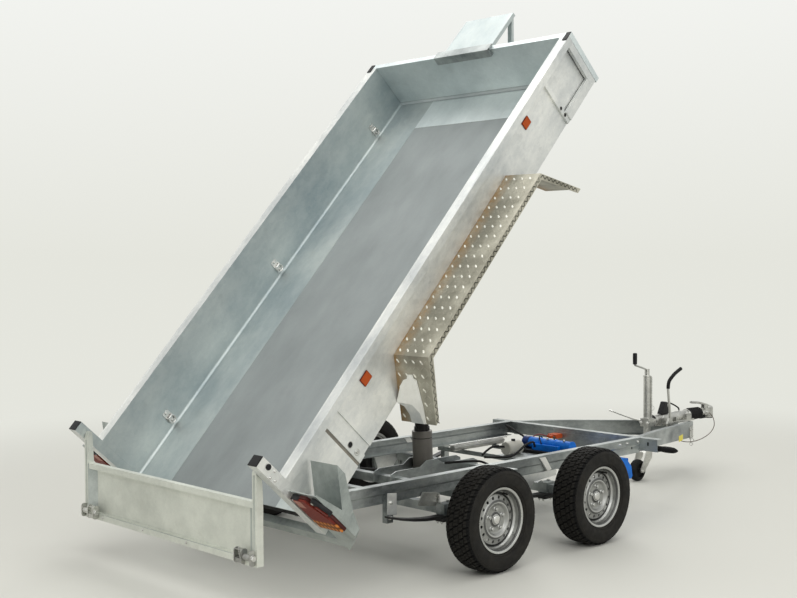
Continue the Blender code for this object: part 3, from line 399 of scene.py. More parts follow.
def spun(start, way, profile, sides=24, joined=False):
    """Rings of (distance along, radius) from start along an axis or towards a point."""
    start = Vector(start)
    along, first, second = basis(start, start + Vector(WAYS[way]) if isinstance(way, str) else way)
    verts = []
    for reach, radius in profile:
        for i in range(sides):
            angle = 2 * math.pi * i / sides
            verts.append(start + along * reach + radius * (math.cos(angle) * first
                                                           + math.sin(angle) * second))
    return verts, skin(len(profile), sides, joined)


def band(wide, radius, edge=0.002):
    """Profile of a ring with chamfered ends."""
    return [(0.0, radius - edge), (edge, radius), (wide - edge, radius), (wide, radius - edge)]


def rod(start, end, radius, sides=16):
    length = (Vector(end) - Vector(start)).length
    return spun(start, end, [(0.0, radius), (length, radius)], sides)


def sweep(points, radius, sides=10, profile=None):
    """Round bar that follows a run of points; profile gives a radius for each point."""
    points = [Vector(p) for p in points]
    verts = []
    side = None
    for i, point in enumerate(points):
        ahead = (points[min(i + 1, len(points) - 1)] - points[max(i - 1, 0)]).normalized()
        if side is None:
            _, side, _ = basis(point, point + ahead)
        side = (side - ahead * side.dot(ahead)).normalized()
        other = ahead.cross(side)
        size = profile[i] if profile else radius
        for k in range(sides):
            angle = 2 * math.pi * k / sides
            verts.append(point + size * (math.cos(angle) * side + math.sin(angle) * other))
    return verts, skin(len(points), sides)


def smooth_run(stops, steps):
    pts = [Vector(p) for p in stops]
    pts = [2 * pts[0] - pts[1]] + pts + [2 * pts[-1] - pts[-2]]
    run = []
    for i in range(1, len(pts) - 2):
        a, b, c, d = pts[i - 1:i + 3]
        for k in range(steps):
            t = k / steps
            run.append(0.5 * (2 * b + (c - a) * t + (2 * a - 5 * b + 4 * c - d) * t ** 2
                              + (3 * b - a - 3 * c + d) * t ** 3))
    run.append(pts[-2])
    return run


def loop(centre, normal, radius, thick, steps=24, sides=8):
    """Round wire bent into a ring."""
    centre = Vector(centre)
    _, first, second = basis(centre, centre + Vector(normal))
    run = []
    for k in range(steps + 1):
        angle = 2 * math.pi * k / steps
        run.append(centre + radius * (math.cos(angle) * first + math.sin(angle) * second))
    return sweep(run, thick, sides)


def hexagon(start, direction, across, height, washer=0.0):
    """Hexagon head or nut with a chamfered end, on a washer if one is asked for."""
    start, direction = Vector(start), Vector(direction).normalized()
    radius = across / math.sqrt(3.0)
    shapes = []
    if washer:
        shapes.append(spun(start, start + direction, [(0.0, washer), (0.0015, washer),
                                                      (0.0019, washer - 0.0006)], 20))
        start = start + direction * 0.0018
    shapes.append(spun(start, start + direction, [(0.0, radius), (height * 0.8, radius),
                                                  (height, radius * 0.86)], 6))
    return shapes


def bolt(start, direction, across=0.016, height=0.009, thread=0.006):
    """A nut on a washer with the bolt's end standing out of it."""
    start, direction = Vector(start), Vector(direction).normalized()
    shapes = hexagon(start, direction, across, height, across * 0.78)
    tip = start + direction * (height + 0.0016)
    radius = across * 0.3
    shapes.append(spun(tip, tip + direction, [(0.0, radius), (thread * 0.8, radius),
                                              (thread, radius * 0.8)], 12))
    return shapes


def lathed(profile, sides=64):
    """Closed profile of (radius, y) turned about Y."""
    verts = []
    for radius, y in profile:
        for i in range(sides):
            angle = 2 * math.pi * i / sides
            verts.append((radius * math.cos(angle), y, radius * math.sin(angle)))
    return verts, skin(len(profile), sides, joined=True)


# Pieces

LOOKS = make_looks()


def build(name, shapes, place=at, bevel=0.0, sharp=32.0, segments=2):
    """One object from shapes, placed point by point, with its edges softened."""
    bm = bmesh.new()
    for verts, faces in shapes:
        made = [bm.verts.new(place(*v)) for v in verts]
        for face in faces:
            bm.faces.new([made[i] for i in face])
    bmesh.ops.recalc_face_normals(bm, faces=bm.faces)
    mesh = bpy.data.meshes.new(name)
    bm.to_mesh(mesh)
    bm.free()
    ob = bpy.data.objects.new(name, mesh)
    bpy.context.scene.collection.objects.link(ob)
    if bevel:
        mod = ob.modifiers.new("soft_edges", "BEVEL")
        mod.width = bevel
        mod.segments = segments
        mod.limit_method = "ANGLE"
        mod.angle_limit = math.radians(32.0)
        apply_modifiers(ob)
    finish(ob, sharp)
    return ob


def finish(ob, sharp):
    """Smooth normals that leave the large faces flat."""
    ob.data.shade_smooth()
    ob.data.set_sharp_from_angle(angle=math.radians(sharp))
    mod = ob.modifiers.new("flat_faces", "WEIGHTED_NORMAL")
    mod.keep_sharp = True
    apply_modifiers(ob)


def apply_modifiers(ob):
    bpy.context.view_layer.update()
    graph = bpy.context.evaluated_depsgraph_get()
    mesh = bpy.data.meshes.new_from_object(ob.evaluated_get(graph))
    ob.modifiers.clear()
    ob.data = mesh


def piece(name, body, look, shapes, place=at, bevel=0.0, replaces=(), sharp=32.0, segments=2):
    ob = build(name, shapes, place, bevel, sharp, segments)
    ob.data.materials.clear()
    ob.data.materials.append(LOOKS[look])
    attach(ob, body)
    if replaces:
        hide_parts(*replaces)
    return ob


def adder(body, place=at, ending=""):
    """A short call that adds pieces to one body."""
    def add(name, look, shapes, place=place, **more):
        return piece(name + ending, body, look, shapes, place, **more)
    return add


def both_sides(body, to_frame):
    """The word for each side, and a call that adds pieces there, with y outward."""
    for word, side in SIDES:
        yield word, adder(body, lambda x, y, z, side=side: to_frame(x, side * y, z), "_" + word)


def dress_nodes():
    """Give every node of the frame its finish."""
    by_start = (("beam_", "zinc_frame"), ("drawbar_", "zinc_frame"), ("front_crossmember", "zinc_frame"),
                ("cross_bar", "zinc_frame"), ("ram_cradle", "zinc_frame"), ("unit_tray", "zinc_frame"),
                ("pivot_tube", "zinc_frame"), ("axle_", "zinc_frame"), ("bed_bearers", "zinc_frame"),
                ("side_", "zinc"), ("front_wall", "zinc_front"), ("bucket_rest", "zinc_inner"),
                # The lamp bar takes the darker zinc copy: painted shade
                ("lamp_bar", "zinc_bar"), ("tailgate", "zinc_gate"), ("floor_sheet", "floor"),
                ("mudguard_", "chequer"), ("overrun_housing", "plate"), ("coupling_head", "plate"),
                ("handbrake_lever", "plate"), ("jockey_column", "plate"), ("jockey_fork", "plate"),
                ("jockey_wheel", "rubber"), ("breakaway_cable", "plate"), ("spare_cylinder", "plate"),
                ("leaf_springs_", "spring"), ("ram_barrel", "ram_dark"), ("ram_stage_", "ram_dark"),
                ("tyre_", "tyre"), ("rim_", "rim"), ("bellows", "rubber"), ("brake_hose", "rubber"),
                ("lever_guard", "black"), ("battery_box", "black"), ("plug", "black"),
                ("marker_lamp_", "black"), ("pump_motor", "blue"), ("wheel_chock", "blue"),
                ("oil_tank", "white"), ("tail_lamp_", "red_lens"),)
    for name, node in NODES.items():
        look = next(look for start, look in by_start if name.startswith(start))
        node.data.materials.clear()
        node.data.materials.append(LOOKS[look])


# Breakaway cable

def cable():
    stops = [(3.69, -0.035, 0.415), (3.7, -0.064, 0.377), (3.672, -0.092, 0.322), (3.595, -0.108, 0.276),
             (3.48, -0.116, 0.246), (3.35, -0.116, 0.232), (3.225, -0.11, 0.24), (3.11, -0.098, 0.276),
             (3.06, -0.091, 0.3278)]
    route = [at(*p) for p in smooth_run(stops, 5)]
    tube = piece("cable_sheath", "chassis", "cable", [sweep(route, 0.003, 12)], place=lambda *p: Vector(p),
                 replaces=("breakaway_cable",))


# Wheels

def tyre_shape():
    """Tread blocks in five bands with slanted cuts, rounded shoulders and plain walls with a rim guard."""
    wall = [(0.1615, 0.06), (0.176, 0.062), (0.18, 0.074), (0.186, 0.0795), (0.19, 0.0795),
            (0.1915, 0.0835), (0.197, 0.0862), (0.206, 0.0885), (0.216, 0.0898), (0.228, 0.0898),
            (0.24, 0.0885), (0.2465, 0.0872), (0.248, 0.0885), (0.2545, 0.0868), (0.262, 0.0822)]
    # Tread rows from the shoulder inward: y, radius on a block, radius in a cut, slant
    tread = [(0.079, 0.2672, 0.264, 0.0), (0.0755, 0.2708, 0.264, 0.0), (0.069, 0.2752, 0.265, 0.05),
             (0.06, 0.2782, 0.269, 0.15), (0.052, 0.2794, 0.2696, 0.2),
             (0.0505, 0.2705, 0.2705, 0.2), (0.0455, 0.2705, 0.2705, 0.45),
             (0.044, 0.28, 0.2712, 0.45), (0.033, 0.2803, 0.2712, 0.6), (0.0215, 0.2804, 0.2712, 0.7),
             (0.02, 0.271, 0.271, 0.7), (0.0165, 0.271, 0.271, 0.95),
             (0.015, 0.2805, 0.273, 0.95), (0.0, 0.2805, 0.273, 1.1)]
    rows = [(r, y, r, 0.0) for r, y in wall]
    rows += [(hi, y, lo, lean) for y, hi, lo, lean in tread]
    rows += [(hi, -y, lo, 2.2 - lean) for y, hi, lo, lean in reversed(tread[:-1])]
    rows += [(r, -y, r, 2.2) for r, y in reversed(wall)]
    pitches = 42
    marks = ((0.0, True), (0.3, True), (0.335, False), (0.345, False), (0.38, True), (0.72, True),
             (0.76, False), (0.96, False))
    sides = pitches * len(marks)
    verts = []
    for hi, y, lo, lean in rows:
        for p in range(pitches):
            for part, on_block in marks:
                angle = 2 * math.pi * (p + part + lean) / pitches
                narrow = part in (0.335, 0.345)
                r = hi if on_block or (narrow and hi - lo < 0.001) else (hi
                                                                         - 0.004 if narrow and hi > lo
                                                                         else lo)
                verts.append((r * math.cos(angle), y, r * math.sin(angle)))
    faces = skin(len(rows), sides)[:-2]
    # Inner ring, hidden by the rim
    last = (len(rows) - 1) * sides
    faces += [(i, last + i, last + (i + 1) % sides, (i + 1) % sides) for i in range(sides)]
    return verts, faces


def rim_shapes():
    """Rolled rim with its bead seats and well, and the pressed disc."""
    rim = [(0.145, -0.064), (0.15, -0.066), (0.156, -0.0665), (0.16, -0.069), (0.17, -0.0715),
           (0.1745, -0.0722), (0.1752, -0.07), (0.1745, -0.069), (0.169, -0.066), (0.162, -0.063),
           (0.161, -0.06), (0.1605, -0.038), (0.145, -0.024), (0.145, 0.016), (0.1605, 0.03),
           (0.161, 0.06), (0.162, 0.063), (0.169, 0.066), (0.1745, 0.069), (0.1752, 0.0705),
           (0.1745, 0.0722), (0.17, 0.0716), (0.163, 0.069), (0.159, 0.065), (0.1565, 0.056),
           (0.156, 0.04), (0.153, 0.033), (0.147, 0.026), (0.141, 0.018), (0.14, -0.022),
           (0.142, -0.03)]
    disc = [(0.1405, -0.012), (0.1405, 0.012), (0.138, 0.019), (0.133, 0.0265), (0.128, 0.03),
            (0.123, 0.031), (0.112, 0.033), (0.104, 0.0375), (0.099, 0.0415), (0.094, 0.043),
            (0.088, 0.0425), (0.083, 0.039), (0.078, 0.0325), (0.074, 0.029), (0.069, 0.0275),
            (0.048, 0.0265), (0.04, 0.0262), (0.0345, 0.029), (0.033, 0.034), (0.0315, 0.035),
            (0.03, 0.034), (0.0295, 0.02), (0.07, 0.0215), (0.079, 0.026), (0.086, 0.037),
            (0.094, 0.0375), (0.099, 0.0355), (0.106, 0.03), (0.113, 0.027), (0.125, 0.0245),
            (0.131, 0.019), (0.1345, 0.011), (0.1345, -0.012)]
    return rim, disc


def shade_rings(ob, x, rings):
    """Darker looks, painted shade, for the faces that lie within rings round a wheel's axis."""
    hub = at(x, 0.0, HUB_Z)
    for _, _, look in rings:
        ob.data.materials.append(LOOKS[look])
    for face in ob.data.polygons:
        reach = math.hypot(face.center.x - hub.x, face.center.z - hub.z)
        for k, (low, high, _) in enumerate(rings):
            if low <= reach < high:
                face.material_index = k + 1


def wheel_set():
    rim, disc = rim_shapes()
    tread = tyre_shape()
    solid_disc = build("disc_blank", [lathed(disc, 96)], place=lambda *p: Vector(p))
    punches = []
    for k in range(16):
        angle = 2 * math.pi * (k + 0.5) / 16
        x, z = 0.1175 * math.cos(angle), 0.1175 * math.sin(angle)
        punches.append(rod((x, 0.0, z), (x, 0.06, z), 0.0084, 20))
    punch = build("punches", punches, place=lambda *p: Vector(p))
    mod = solid_disc.modifiers.new("holes", "BOOLEAN")
    mod.operation = "DIFFERENCE"
    mod.solver = "EXACT"
    mod.object = punch
    apply_modifiers(solid_disc)
    mesh = solid_disc.data
    disc_shape = ([tuple(v.co) for v in mesh.vertices], [tuple(p.vertices) for p in mesh.polygons])
    bpy.data.objects.remove(punch, do_unlink=True)
    bpy.data.objects.remove(solid_disc, do_unlink=True)
    fixings, cap = [], []
    for k in range(5):
        angle = 2 * math.pi * (k + 0.25) / 5
        x, z = 0.056 * math.cos(angle), 0.056 * math.sin(angle)
        fixings.append(spun((x, 0.026, z), "Y", [(0.0, 0.0135), (0.0025, 0.0135), (0.0055, 0.0105)], 20))
        fixings.append(spun((x, 0.029, z), "Y", [(0.0, 0.011), (0.012, 0.011), (0.0145, 0.0088),
                                                 (0.015, 0.004)], 6))
    cap.append(spun((0, 0.004, 0), "Y", [(0.0, 0.0288), (0.029, 0.0288), (0.03, 0.0262), (0.0345, 0.0256),
                                         (0.0385, 0.0225), (0.0408, 0.015), (0.0415, 0.006),
                                         (0.0416, 0.001)], 40))
    valve_x, valve_z = 0.148 * math.cos(1.1), 0.148 * math.sin(1.1)
    valve = [spun((valve_x, 0.022, valve_z), (valve_x * 0.96, 0.066, valve_z * 0.96),
                  [(0.0, 0.0075), (0.006, 0.0072), (0.01, 0.0042), (0.026, 0.0038), (0.0265, 0.0048),
                   (0.035, 0.0048), (0.036, 0.004)], 14)]
    for axle, x in AXLES:
        for word, side in SIDES:
            tag = axle + "_" + word
            add = adder("wheel_" + tag, on_hub(x, side), "_" + tag)
            tyre = add("tyre_tread", "tyre", [tread], replaces=("tyre_" + tag,), sharp=26.0)
            # The grooves of the tread in near black: painted shade
            shade_rings(tyre, x, [(0.2636, 0.2738, "groove")])
            wheel = add("rim_barrel", "rim", [lathed(rim, 96), disc_shape], replaces=("rim_" + tag,),
                        sharp=40.0)
            # Painted shade: darker rings round the cap, over the disc, in the well and at the steps
            shade_rings(wheel, x, [(0.0, 0.04, "rim_deep_shade"), (0.04, 0.087, "rim_half_shade"),
                                   (0.096, 0.1065, "rim_deep_shade"), (0.1065, 0.129, "rim_half_shade"),
                                   (0.134, 0.144, "rim_deep_shade"), (0.1562, 0.1612, "rim_deep_shade")])
            add("wheel_nuts", "rim", fixings, bevel=0.0005)
            add("hub_cap", "bolt", cap, sharp=30.0)
            add("valve", "rubber", valve)
            drum = [spun((0, -0.15, 0), "Y", [(0.0, 0.12), (0.01, 0.128), (0.03, 0.128), (0.034, 0.118),
                                              (0.11, 0.112), (0.138, 0.104), (0.1655, 0.07)], 48)]
            add("brake_drum", "spring", drum, bevel=0.0015)


# Chequer plate

def lozenges():
    """Raised bars of the chequer pattern, turned by quarter turns from one to the next."""
    length, wide, high, pitch, across = 0.029, 0.0105, 0.0013, 0.0355, 0.0275
    runs = (((0.56, -0.11), (0.7727, 0.161)), ((0.7727, 0.161), (2.045, 0.161)),
            ((2.045, 0.161), (2.231, -0.146)))
    outline = [(-0.5, 0.0), (-0.3, 0.42), (0.0, 0.5), (0.3, 0.42), (0.5, 0.0), (0.3, -0.42), (0.0, -0.5),
               (-0.3, -0.42)]
    for word, side in SIDES:
        add = adder("bed", on_bed, "_" + word)
        shapes = {0: ([], []), 1: ([], [])}
        lip = []
        for start, end in runs:
            start, end = Vector((start[0], 0, start[1])), Vector((end[0], 0, end[1]))
            reach = (end - start).length
            along = (end - start) / reach
            out = Vector((-along.z, 0, along.x))
            count = int((reach - 0.01) / pitch)
            first = (reach - (count - 1) * pitch) / 2
            rows = int((GUARD_OUTER - BED_OUTER - 0.012) / across)
            for i in range(count):
                for j in range(rows):
                    # Every other bar of one turn goes to the bright set: a painted glint
                    verts, faces = shapes[0 if i % 2 == 0 and j % 2 == 0 else 1]
                    spot = start + along * (first + i * pitch)
                    v = BED_OUTER + 0.014 + across * (j + 0.4)
                    turn = math.radians(45 if (i + j) % 2 else -45)
                    c, s = math.cos(turn), math.sin(turn)
                    base = len(verts)
                    for grow, lift in ((1.0, -0.0002), (0.62, high)):
                        for p, q in outline:
                            p, q = p * length * (grow if grow == 1 else 0.84), q * wide * grow
                            spot_at = spot + along * (p * c - q * s) + out * lift
                            verts.append((spot_at.x, side * (v + p * s + q * c), spot_at.z))
                    n = len(outline)
                    for k in range(n):
                        m = (k + 1) % n
                        faces.append((base + k, base + m, base + n + m, base + n + k))
                    faces.append(tuple(base + n + k for k in range(n)))
            # Dark zigzag of the pattern on the lip
            for i in range(int(reach / 0.018) - 1):
                spot = start + along * (0.014 + 0.018 * i)
                way = 1 if i % 2 else -1
                a, b = along * 0.008 * way - out * 0.024, -along * 0.008 * way - out * 0.004
                wide_by = along * 0.0034
                pts = [spot + a - wide_by, spot + a + wide_by, spot + b + wide_by, spot + b - wide_by]
                lip.append(slab(*([(p.x, side * y, p.z) for p in pts]
                                  for y in (GUARD_OUTER - 0.001, GUARD_OUTER + 0.0005))))
        add("chequer_bars", "chequer_bars", [shapes[0]], sharp=60.0)
        add("chequer_cross", "chequer", [shapes[1]], sharp=60.0)
        add("chequer_lip", "tread_dark", lip)


def soften(names, width):
    """The nodes' own forms with their edges rounded, in place of the plain solids."""
    for name, node in NODES.items():
        if not name.startswith(names):
            continue
        body = next(word for word, empty in frame["bodies"].items() if empty == node.parent)
        bm = bmesh.new()
        bm.from_mesh(node.data)
        bmesh.ops.remove_doubles(bm, verts=bm.verts, dist=0.00002)
        bmesh.ops.dissolve_limit(bm, angle_limit=math.radians(0.6), verts=bm.verts, edges=bm.edges)
        mesh = bpy.data.meshes.new(name + "_form")
        if name.startswith("side_"):
            # The posts end under their caps
            turn = node.matrix_world
            upward = Vector((-math.sin(TIP), 0.0, math.cos(TIP)))
            for vert in bm.verts:
                spot = turn @ vert.co - on_bed(0.0, 0.0, 0.0)
                over = spot.z * math.cos(TIP) - spot.x * math.sin(TIP) - POST_TOP
                if over > 0.0:
                    vert.co = turn.inverted() @ (turn @ vert.co - over * upward)
        bm.to_mesh(mesh)
        bm.free()
        mesh.materials.append(node.data.materials[0])
        ob = bpy.data.objects.new(name + "_form", mesh)
        bpy.context.scene.collection.objects.link(ob)
        ob.matrix_world = node.matrix_world
        mod = ob.modifiers.new("soft_edges", "BEVEL")
        mod.width = width
        mod.segments = 2
        mod.limit_method = "ANGLE"
        mod.angle_limit = math.radians(28.0)
        apply_modifiers(ob)
        finish(ob, 34.0)
        if name.startswith("side_"):
            # The faces inside the tub take a darker copy of the zinc: painted shade
            ob.data.materials.append(LOOKS["zinc_inner"])
            sign = 1 if name.endswith("left") else -1
            for face in ob.data.polygons:
                spot = ob.matrix_world @ face.center
                way = (ob.matrix_world.to_3x3() @ face.normal).y
                if abs(spot.y) < BED_INNER + 0.002 and way * sign < 0.2 and face.normal.length:
                    face.material_index = 1
        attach(ob, body)
        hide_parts(name)


def rounded(cx, cy, half_x, half_y, radius, steps=4):
    """Outline of a rectangle with round corners."""
    pts = []
    for k, (sx, sy) in enumerate(((1, 1), (-1, 1), (-1, -1), (1, -1))):
        for j in range(steps + 1):
            angle = math.pi / 2 * (k + j / steps)
            pts.append((cx + sx * (half_x - radius) + radius * math.cos(angle),
                        cy + sy * (half_y - radius) + radius * math.sin(angle)))
    return pts


def hollow(x, z, bend=0.016):
    """Outline of the fill in a corner, round on the side that shows."""
    angles = [math.radians(-90 + 15 * k) for k in range(7)]
    return [(x - bend + bend * math.cos(a), z + bend + bend * math.sin(a)) for a in angles] + [(x, z)]


def shrunk(outline, gap):
    """Outline moved inward by a gap, for a convex outline."""
    n = len(outline)
    area = sum(outline[i][0] * outline[(i + 1) % n][1] - outline[(i + 1) % n][0] * outline[i][1]
               for i in range(n))
    turn = 1 if area > 0 else -1
    lines = []
    for i in range(n):
        (x0, y0), (x1, y1) = outline[i], outline[(i + 1) % n]
        reach = math.hypot(x1 - x0, y1 - y0)
        nx, ny = -(y1 - y0) / reach * turn, (x1 - x0) / reach * turn
        lines.append((nx, ny, nx * x0 + ny * y0 + gap))
    pts = []
    for i in range(n):
        a, b = lines[i - 1], lines[i]
        det = a[0] * b[1] - a[1] * b[0]
        pts.append(((a[2] * b[1] - a[1] * b[2]) / det, (a[0] * b[2] - a[2] * b[0]) / det))
    return pts


# Tub

def tub_details():
    """Rounded bends, lashing rings, caps, reflectors, stiffening frames and the guards' brackets."""
    inner, outer, top = BED_INNER, BED_OUTER, WALL_TOP
    for _, add in both_sides("bed", on_bed):
        # Floor bend and corner seam in the darker zinc copy: painted shade
        add("floor_bend", "zinc_inner", [prism(hollow(inner - 0.0004, 0.0006), "X", -0.104, 3.0165)],
            sharp=60.0)
        add("corner_seam", "zinc_inner", [sweep([(3.0155, inner - 0.0015, 0.014),
                                                 (3.0155, inner - 0.0015, 0.17),
                                                 (3.0155, inner - 0.0015, top - 0.003)], 0.0028, 8)])
        eyes, nuts = [], []
        for u in (0.264, 1.455, 2.694):
            eyes.append(prism(rounded(u, 0.064, 0.024, 0.046, 0.01), "Y", inner - 0.0034, inner - 0.0003))
            strap = ((-0.021, 0.004), (-0.016, 0.014), (-0.006, 0.0185), (0.006, 0.0185), (0.016, 0.014),
                     (0.021, 0.004))
            eyes.append(sweep([(u + du, inner - rise, 0.068) for du, rise in strap], 0.005, 10))
            eyes.append(loop((u, inner - 0.013, 0.046), (0.0, 1.0, -0.12), 0.022, 0.0042, 28, 10))
            for w in (0.034, 0.095):
                nuts += hexagon((u, inner - 0.0034, w), (0, -1, 0), 0.013, 0.007, 0.01)
        add("lashing_eyes", "bolt", eyes, bevel=0.0006)
        add("lashing_nuts", "bolt", nuts, bevel=0.0004)
        caps = [box(-0.1598, -0.1014, inner + 0.0006, RAIL_OUTER - 0.0012, 0.499, 0.5048),
                box(2.983, 3.052, RAIL_OUTER - 0.034, RAIL_OUTER - 0.0006, top + 0.0003, top + 0.0042)]
        add("end_caps", "black", caps, bevel=0.0012)
        add("pin_knob", "black", [spun((-0.12, RAIL_OUTER - 0.0008, 0.445), "Y",
                                       [(0.0, 0.015), (0.004, 0.015), (0.0062, 0.0132), (0.007, 0.006),
                                        (0.0064, 0.005), (0.0064, 0.001)], 32)])
        screws = []
        for u, w in ((-0.151, 0.402), (-0.146, 0.37), (-0.113, 0.4)):
            screws += hexagon((u, RAIL_OUTER - 0.0009, w), (0, 1, 0), 0.01, 0.0045, 0.0078)
        add("post_screws", "bolt", screws, bevel=0.0004)
        lens, frames = [], []
        for u, w in ((0.565, 0.23), (2.385, 0.237)):
            frames.append(prism(rounded(u, w, 0.0345, 0.0265, 0.006), "Y", outer + 0.0003, outer + 0.004))
            lens.append(prism(rounded(u, w, 0.031, 0.023, 0.004), "Y", outer + 0.0035, outer + 0.0068))
        add("reflector_frames", "red_lens", frames, bevel=0.0008)
        add("reflectors", "side_lens", lens, bevel=0.0012)
        wall = outer - 0.001
        ribs = [box(2.6475, 2.678, wall, outer + 0.012, -0.0192, 0.283),
                box(2.969, 3.0167, wall, RAIL_OUTER - 0.0008, -0.0194, 0.283),
                box(2.677, 2.97, wall, RAIL_OUTER - 0.0016, -0.019, 0.044)]
        ribs += [box(-0.098, 0.212, wall, outer + 0.0062, -0.0186, 0.2828),
                 box(0.229, 0.28, wall, outer + 0.0062, -0.0188, 0.2829)]
        add("side_ribs", "zinc", ribs, bevel=0.0016)
        face = outer + 0.0056
        # Black discs for the holes in the ribs: painted shade inside them
        holes = [rod((0.2585, face, 0.097), (0.2585, face + 0.0014, 0.097), 0.015, 28)]
        holes += [rod((u, outer + 0.0114, w), (u, outer + 0.0128, w), 0.0105, 24)
                  for u, w in ((2.663, 0.088), (2.663, 0.037))]
        add("rib_holes", "black", holes)
        rings = [loop((0.2585, face + 0.0008, w), (0, 1, 0), 0.016, 0.0018, 32, 8) for w in (0.097, 0.035)]
        rings += [loop((2.663, outer + 0.0122, w), (0, 1, 0), 0.0115, 0.0012, 28, 8)
                  for w in (0.088, 0.037)]
        rings += hexagon((0.2585, face + 0.0004, 0.035), (0, 1, 0), 0.016, 0.005)
        add("rib_rings", "plate", rings)
        # Dark strip at the bottom of the groove beside the rib: painted shade
        groove = [box(0.2122, 0.2288, outer + 0.0001, outer + 0.0008, -0.018, 0.282)]
        add("rib_groove", "groove_shade", groove)
        rail = [(inner + 0.001, top - 0.002), (inner + 0.001, top + 0.001), (inner + 0.0075, top + 0.001),
                (inner + 0.0085, top - 0.002)]
        shapes = [prism(rail, "X", -0.1, 2.96)]
        rail = [(RAIL_OUTER - 0.0105, top - 0.002), (RAIL_OUTER - 0.0095, top + 0.001),
                (RAIL_OUTER - 0.003, top + 0.001), (RAIL_OUTER - 0.002, top - 0.002)]
        shapes.append(prism(rail, "X", -0.1, 2.96))
        add("rail_folds", "zinc", shapes, bevel=0.0004)
        # Bracket between the tub and the sloped end of the guard
        sheet = [(0.713, 0.917, 0.085), (0.714, 0.95, 0.086), (0.702, 0.957, 0.071), (0.698, 0.977, 0.066),
                 (0.611, 1.003, -0.045), (0.561, 1.01, -0.109), (0.56, 0.993, -0.11),
                 (0.593, 0.974, -0.067), (0.617, 0.926, -0.037), (0.616, 0.878, -0.03),
                 (0.612, 0.831, -0.02), (0.672, 0.862, 0.042), (0.695, 0.884, 0.062),
                 (0.7, 0.91, 0.068)]
        edge = [(0.612, 0.831, -0.02), (0.616, 0.878, -0.03), (0.617, 0.926, -0.037),
                (0.593, 0.974, -0.067), (0.56, 0.993, -0.11), (0.559, 0.908, -0.111),
                (0.586, 0.897, -0.077), (0.608, 0.868, -0.045), (0.61, 0.84, -0.03)]
        lean = Vector((-0.7866, 0.0, 0.6174))
        shapes = []
        for outline, *lifts in ((sheet, 0.002, 0.005), (edge, 0.001, 0.0034)):
            shapes.append(slab(*([Vector(p) + lean * lift for p in outline] for lift in lifts)))
        add("guard_bracket", "white_zinc", shapes[:1])
        # The lower band in greyer zinc than the sheet: painted shade
        add("guard_bracket_edge", "zinc", shapes[1:])
    # The front bend takes the darker zinc: painted shade in the crease
    piece("front_bend", "bed", "zinc_shaded_bend", [prism(hollow(3.0166, 0.0026), "Y", -inner + 0.001,
                                                   inner - 0.001)], on_bed, sharp=60.0)
    piece("rest_lip", "bed", "zinc_frame", [box(2.992, 3.052, -0.245, 0.213, top + 0.0062, top + 0.019),
                                            box(2.99, 3.012, -0.245, 0.213, top - 0.038, top + 0.0185)],
          on_bed, bevel=0.002)
    # Black strip along the rear edge of the floor
    piece("floor_edge_strip", "bed", "rubber", [box(-0.1045, -0.1003, -0.71, 0.71, -0.046, -0.0056)], on_bed,
          bevel=0.0008)


def gate_details():
    """Dark strips in the posts' folds, beside each post and along the bottom, painted shade, and the bolted
    latches at the gate's lower corners.
    """
    for _, add in both_sides("tailgate", on_gate):
        # Painted shade: dark strips in the posts' folds, a dark wedge in the recess beside the post and a
        # dark line along the bottom
        folds = [box(-0.0228, -0.0212, y, y + 0.0022, -0.44, -0.03) for y in (0.754, 0.762)]
        folds.append(prism([(-0.0214, 0.7462), (0.0082, 0.69), (0.0082, 0.7462)], "Z", -0.423, -0.16))
        folds.append(box(-0.0188, -0.017, 0.0, 0.74, -GATE_DROP + 0.031, -GATE_DROP + 0.034))
        add("gate_folds", "zinc_bar", folds, bevel=0.0004)
        z = -GATE_DROP + 0.03
        latch = [prism(rounded(-0.036, z + 0.012, 0.018, 0.037, 0.015), "Y", y, y + 0.006)
                 for y in (0.64, 0.696, 0.76)]
        latch.append(spun((-0.036, 0.704, z + 0.012), "Y",
                          [(0.0, 0.013), (0.002, 0.0165), (0.052, 0.0165), (0.054, 0.013)], 24))
        latch.append(box(-0.05, -0.02, 0.642, 0.699, z - 0.018, z + 0.002))
        latch.append(box(-0.05, -0.02, 0.642, 0.699, z + 0.04, z + 0.044))
        latch.append(sweep([(-0.038, 0.672, z + 0.006), (-0.042, 0.672, z + 0.022),
                            (-0.041, 0.668, z + 0.038), (-0.039, 0.662, z + 0.05)], 0.0046, 10))
        add("gate_latch", "plate", latch, bevel=0.0007)
        nuts = []
        for y, way in ((0.64, -1), (0.766, 1)):
            nuts += hexagon((-0.036, y, z + 0.012), (0, way, 0), 0.026, 0.01, 0.0165)
        for x, y, height in ((-0.0182, 0.6, -GATE_DROP + 0.017), (-0.0182, 0.2, -GATE_DROP + 0.017)):
            nuts += hexagon((x, y, height), (-1, 0, 0), 0.01, 0.004, 0.0075)
        add("gate_nuts", "bolt", nuts, bevel=0.0005)
        hinge = [spun((0.0, 0.7772, 0.0), "Y", [(0.0, 0.015), (0.005, 0.015)], 24)]
        add("gate_washer", "bolt", hinge, bevel=0.0006)


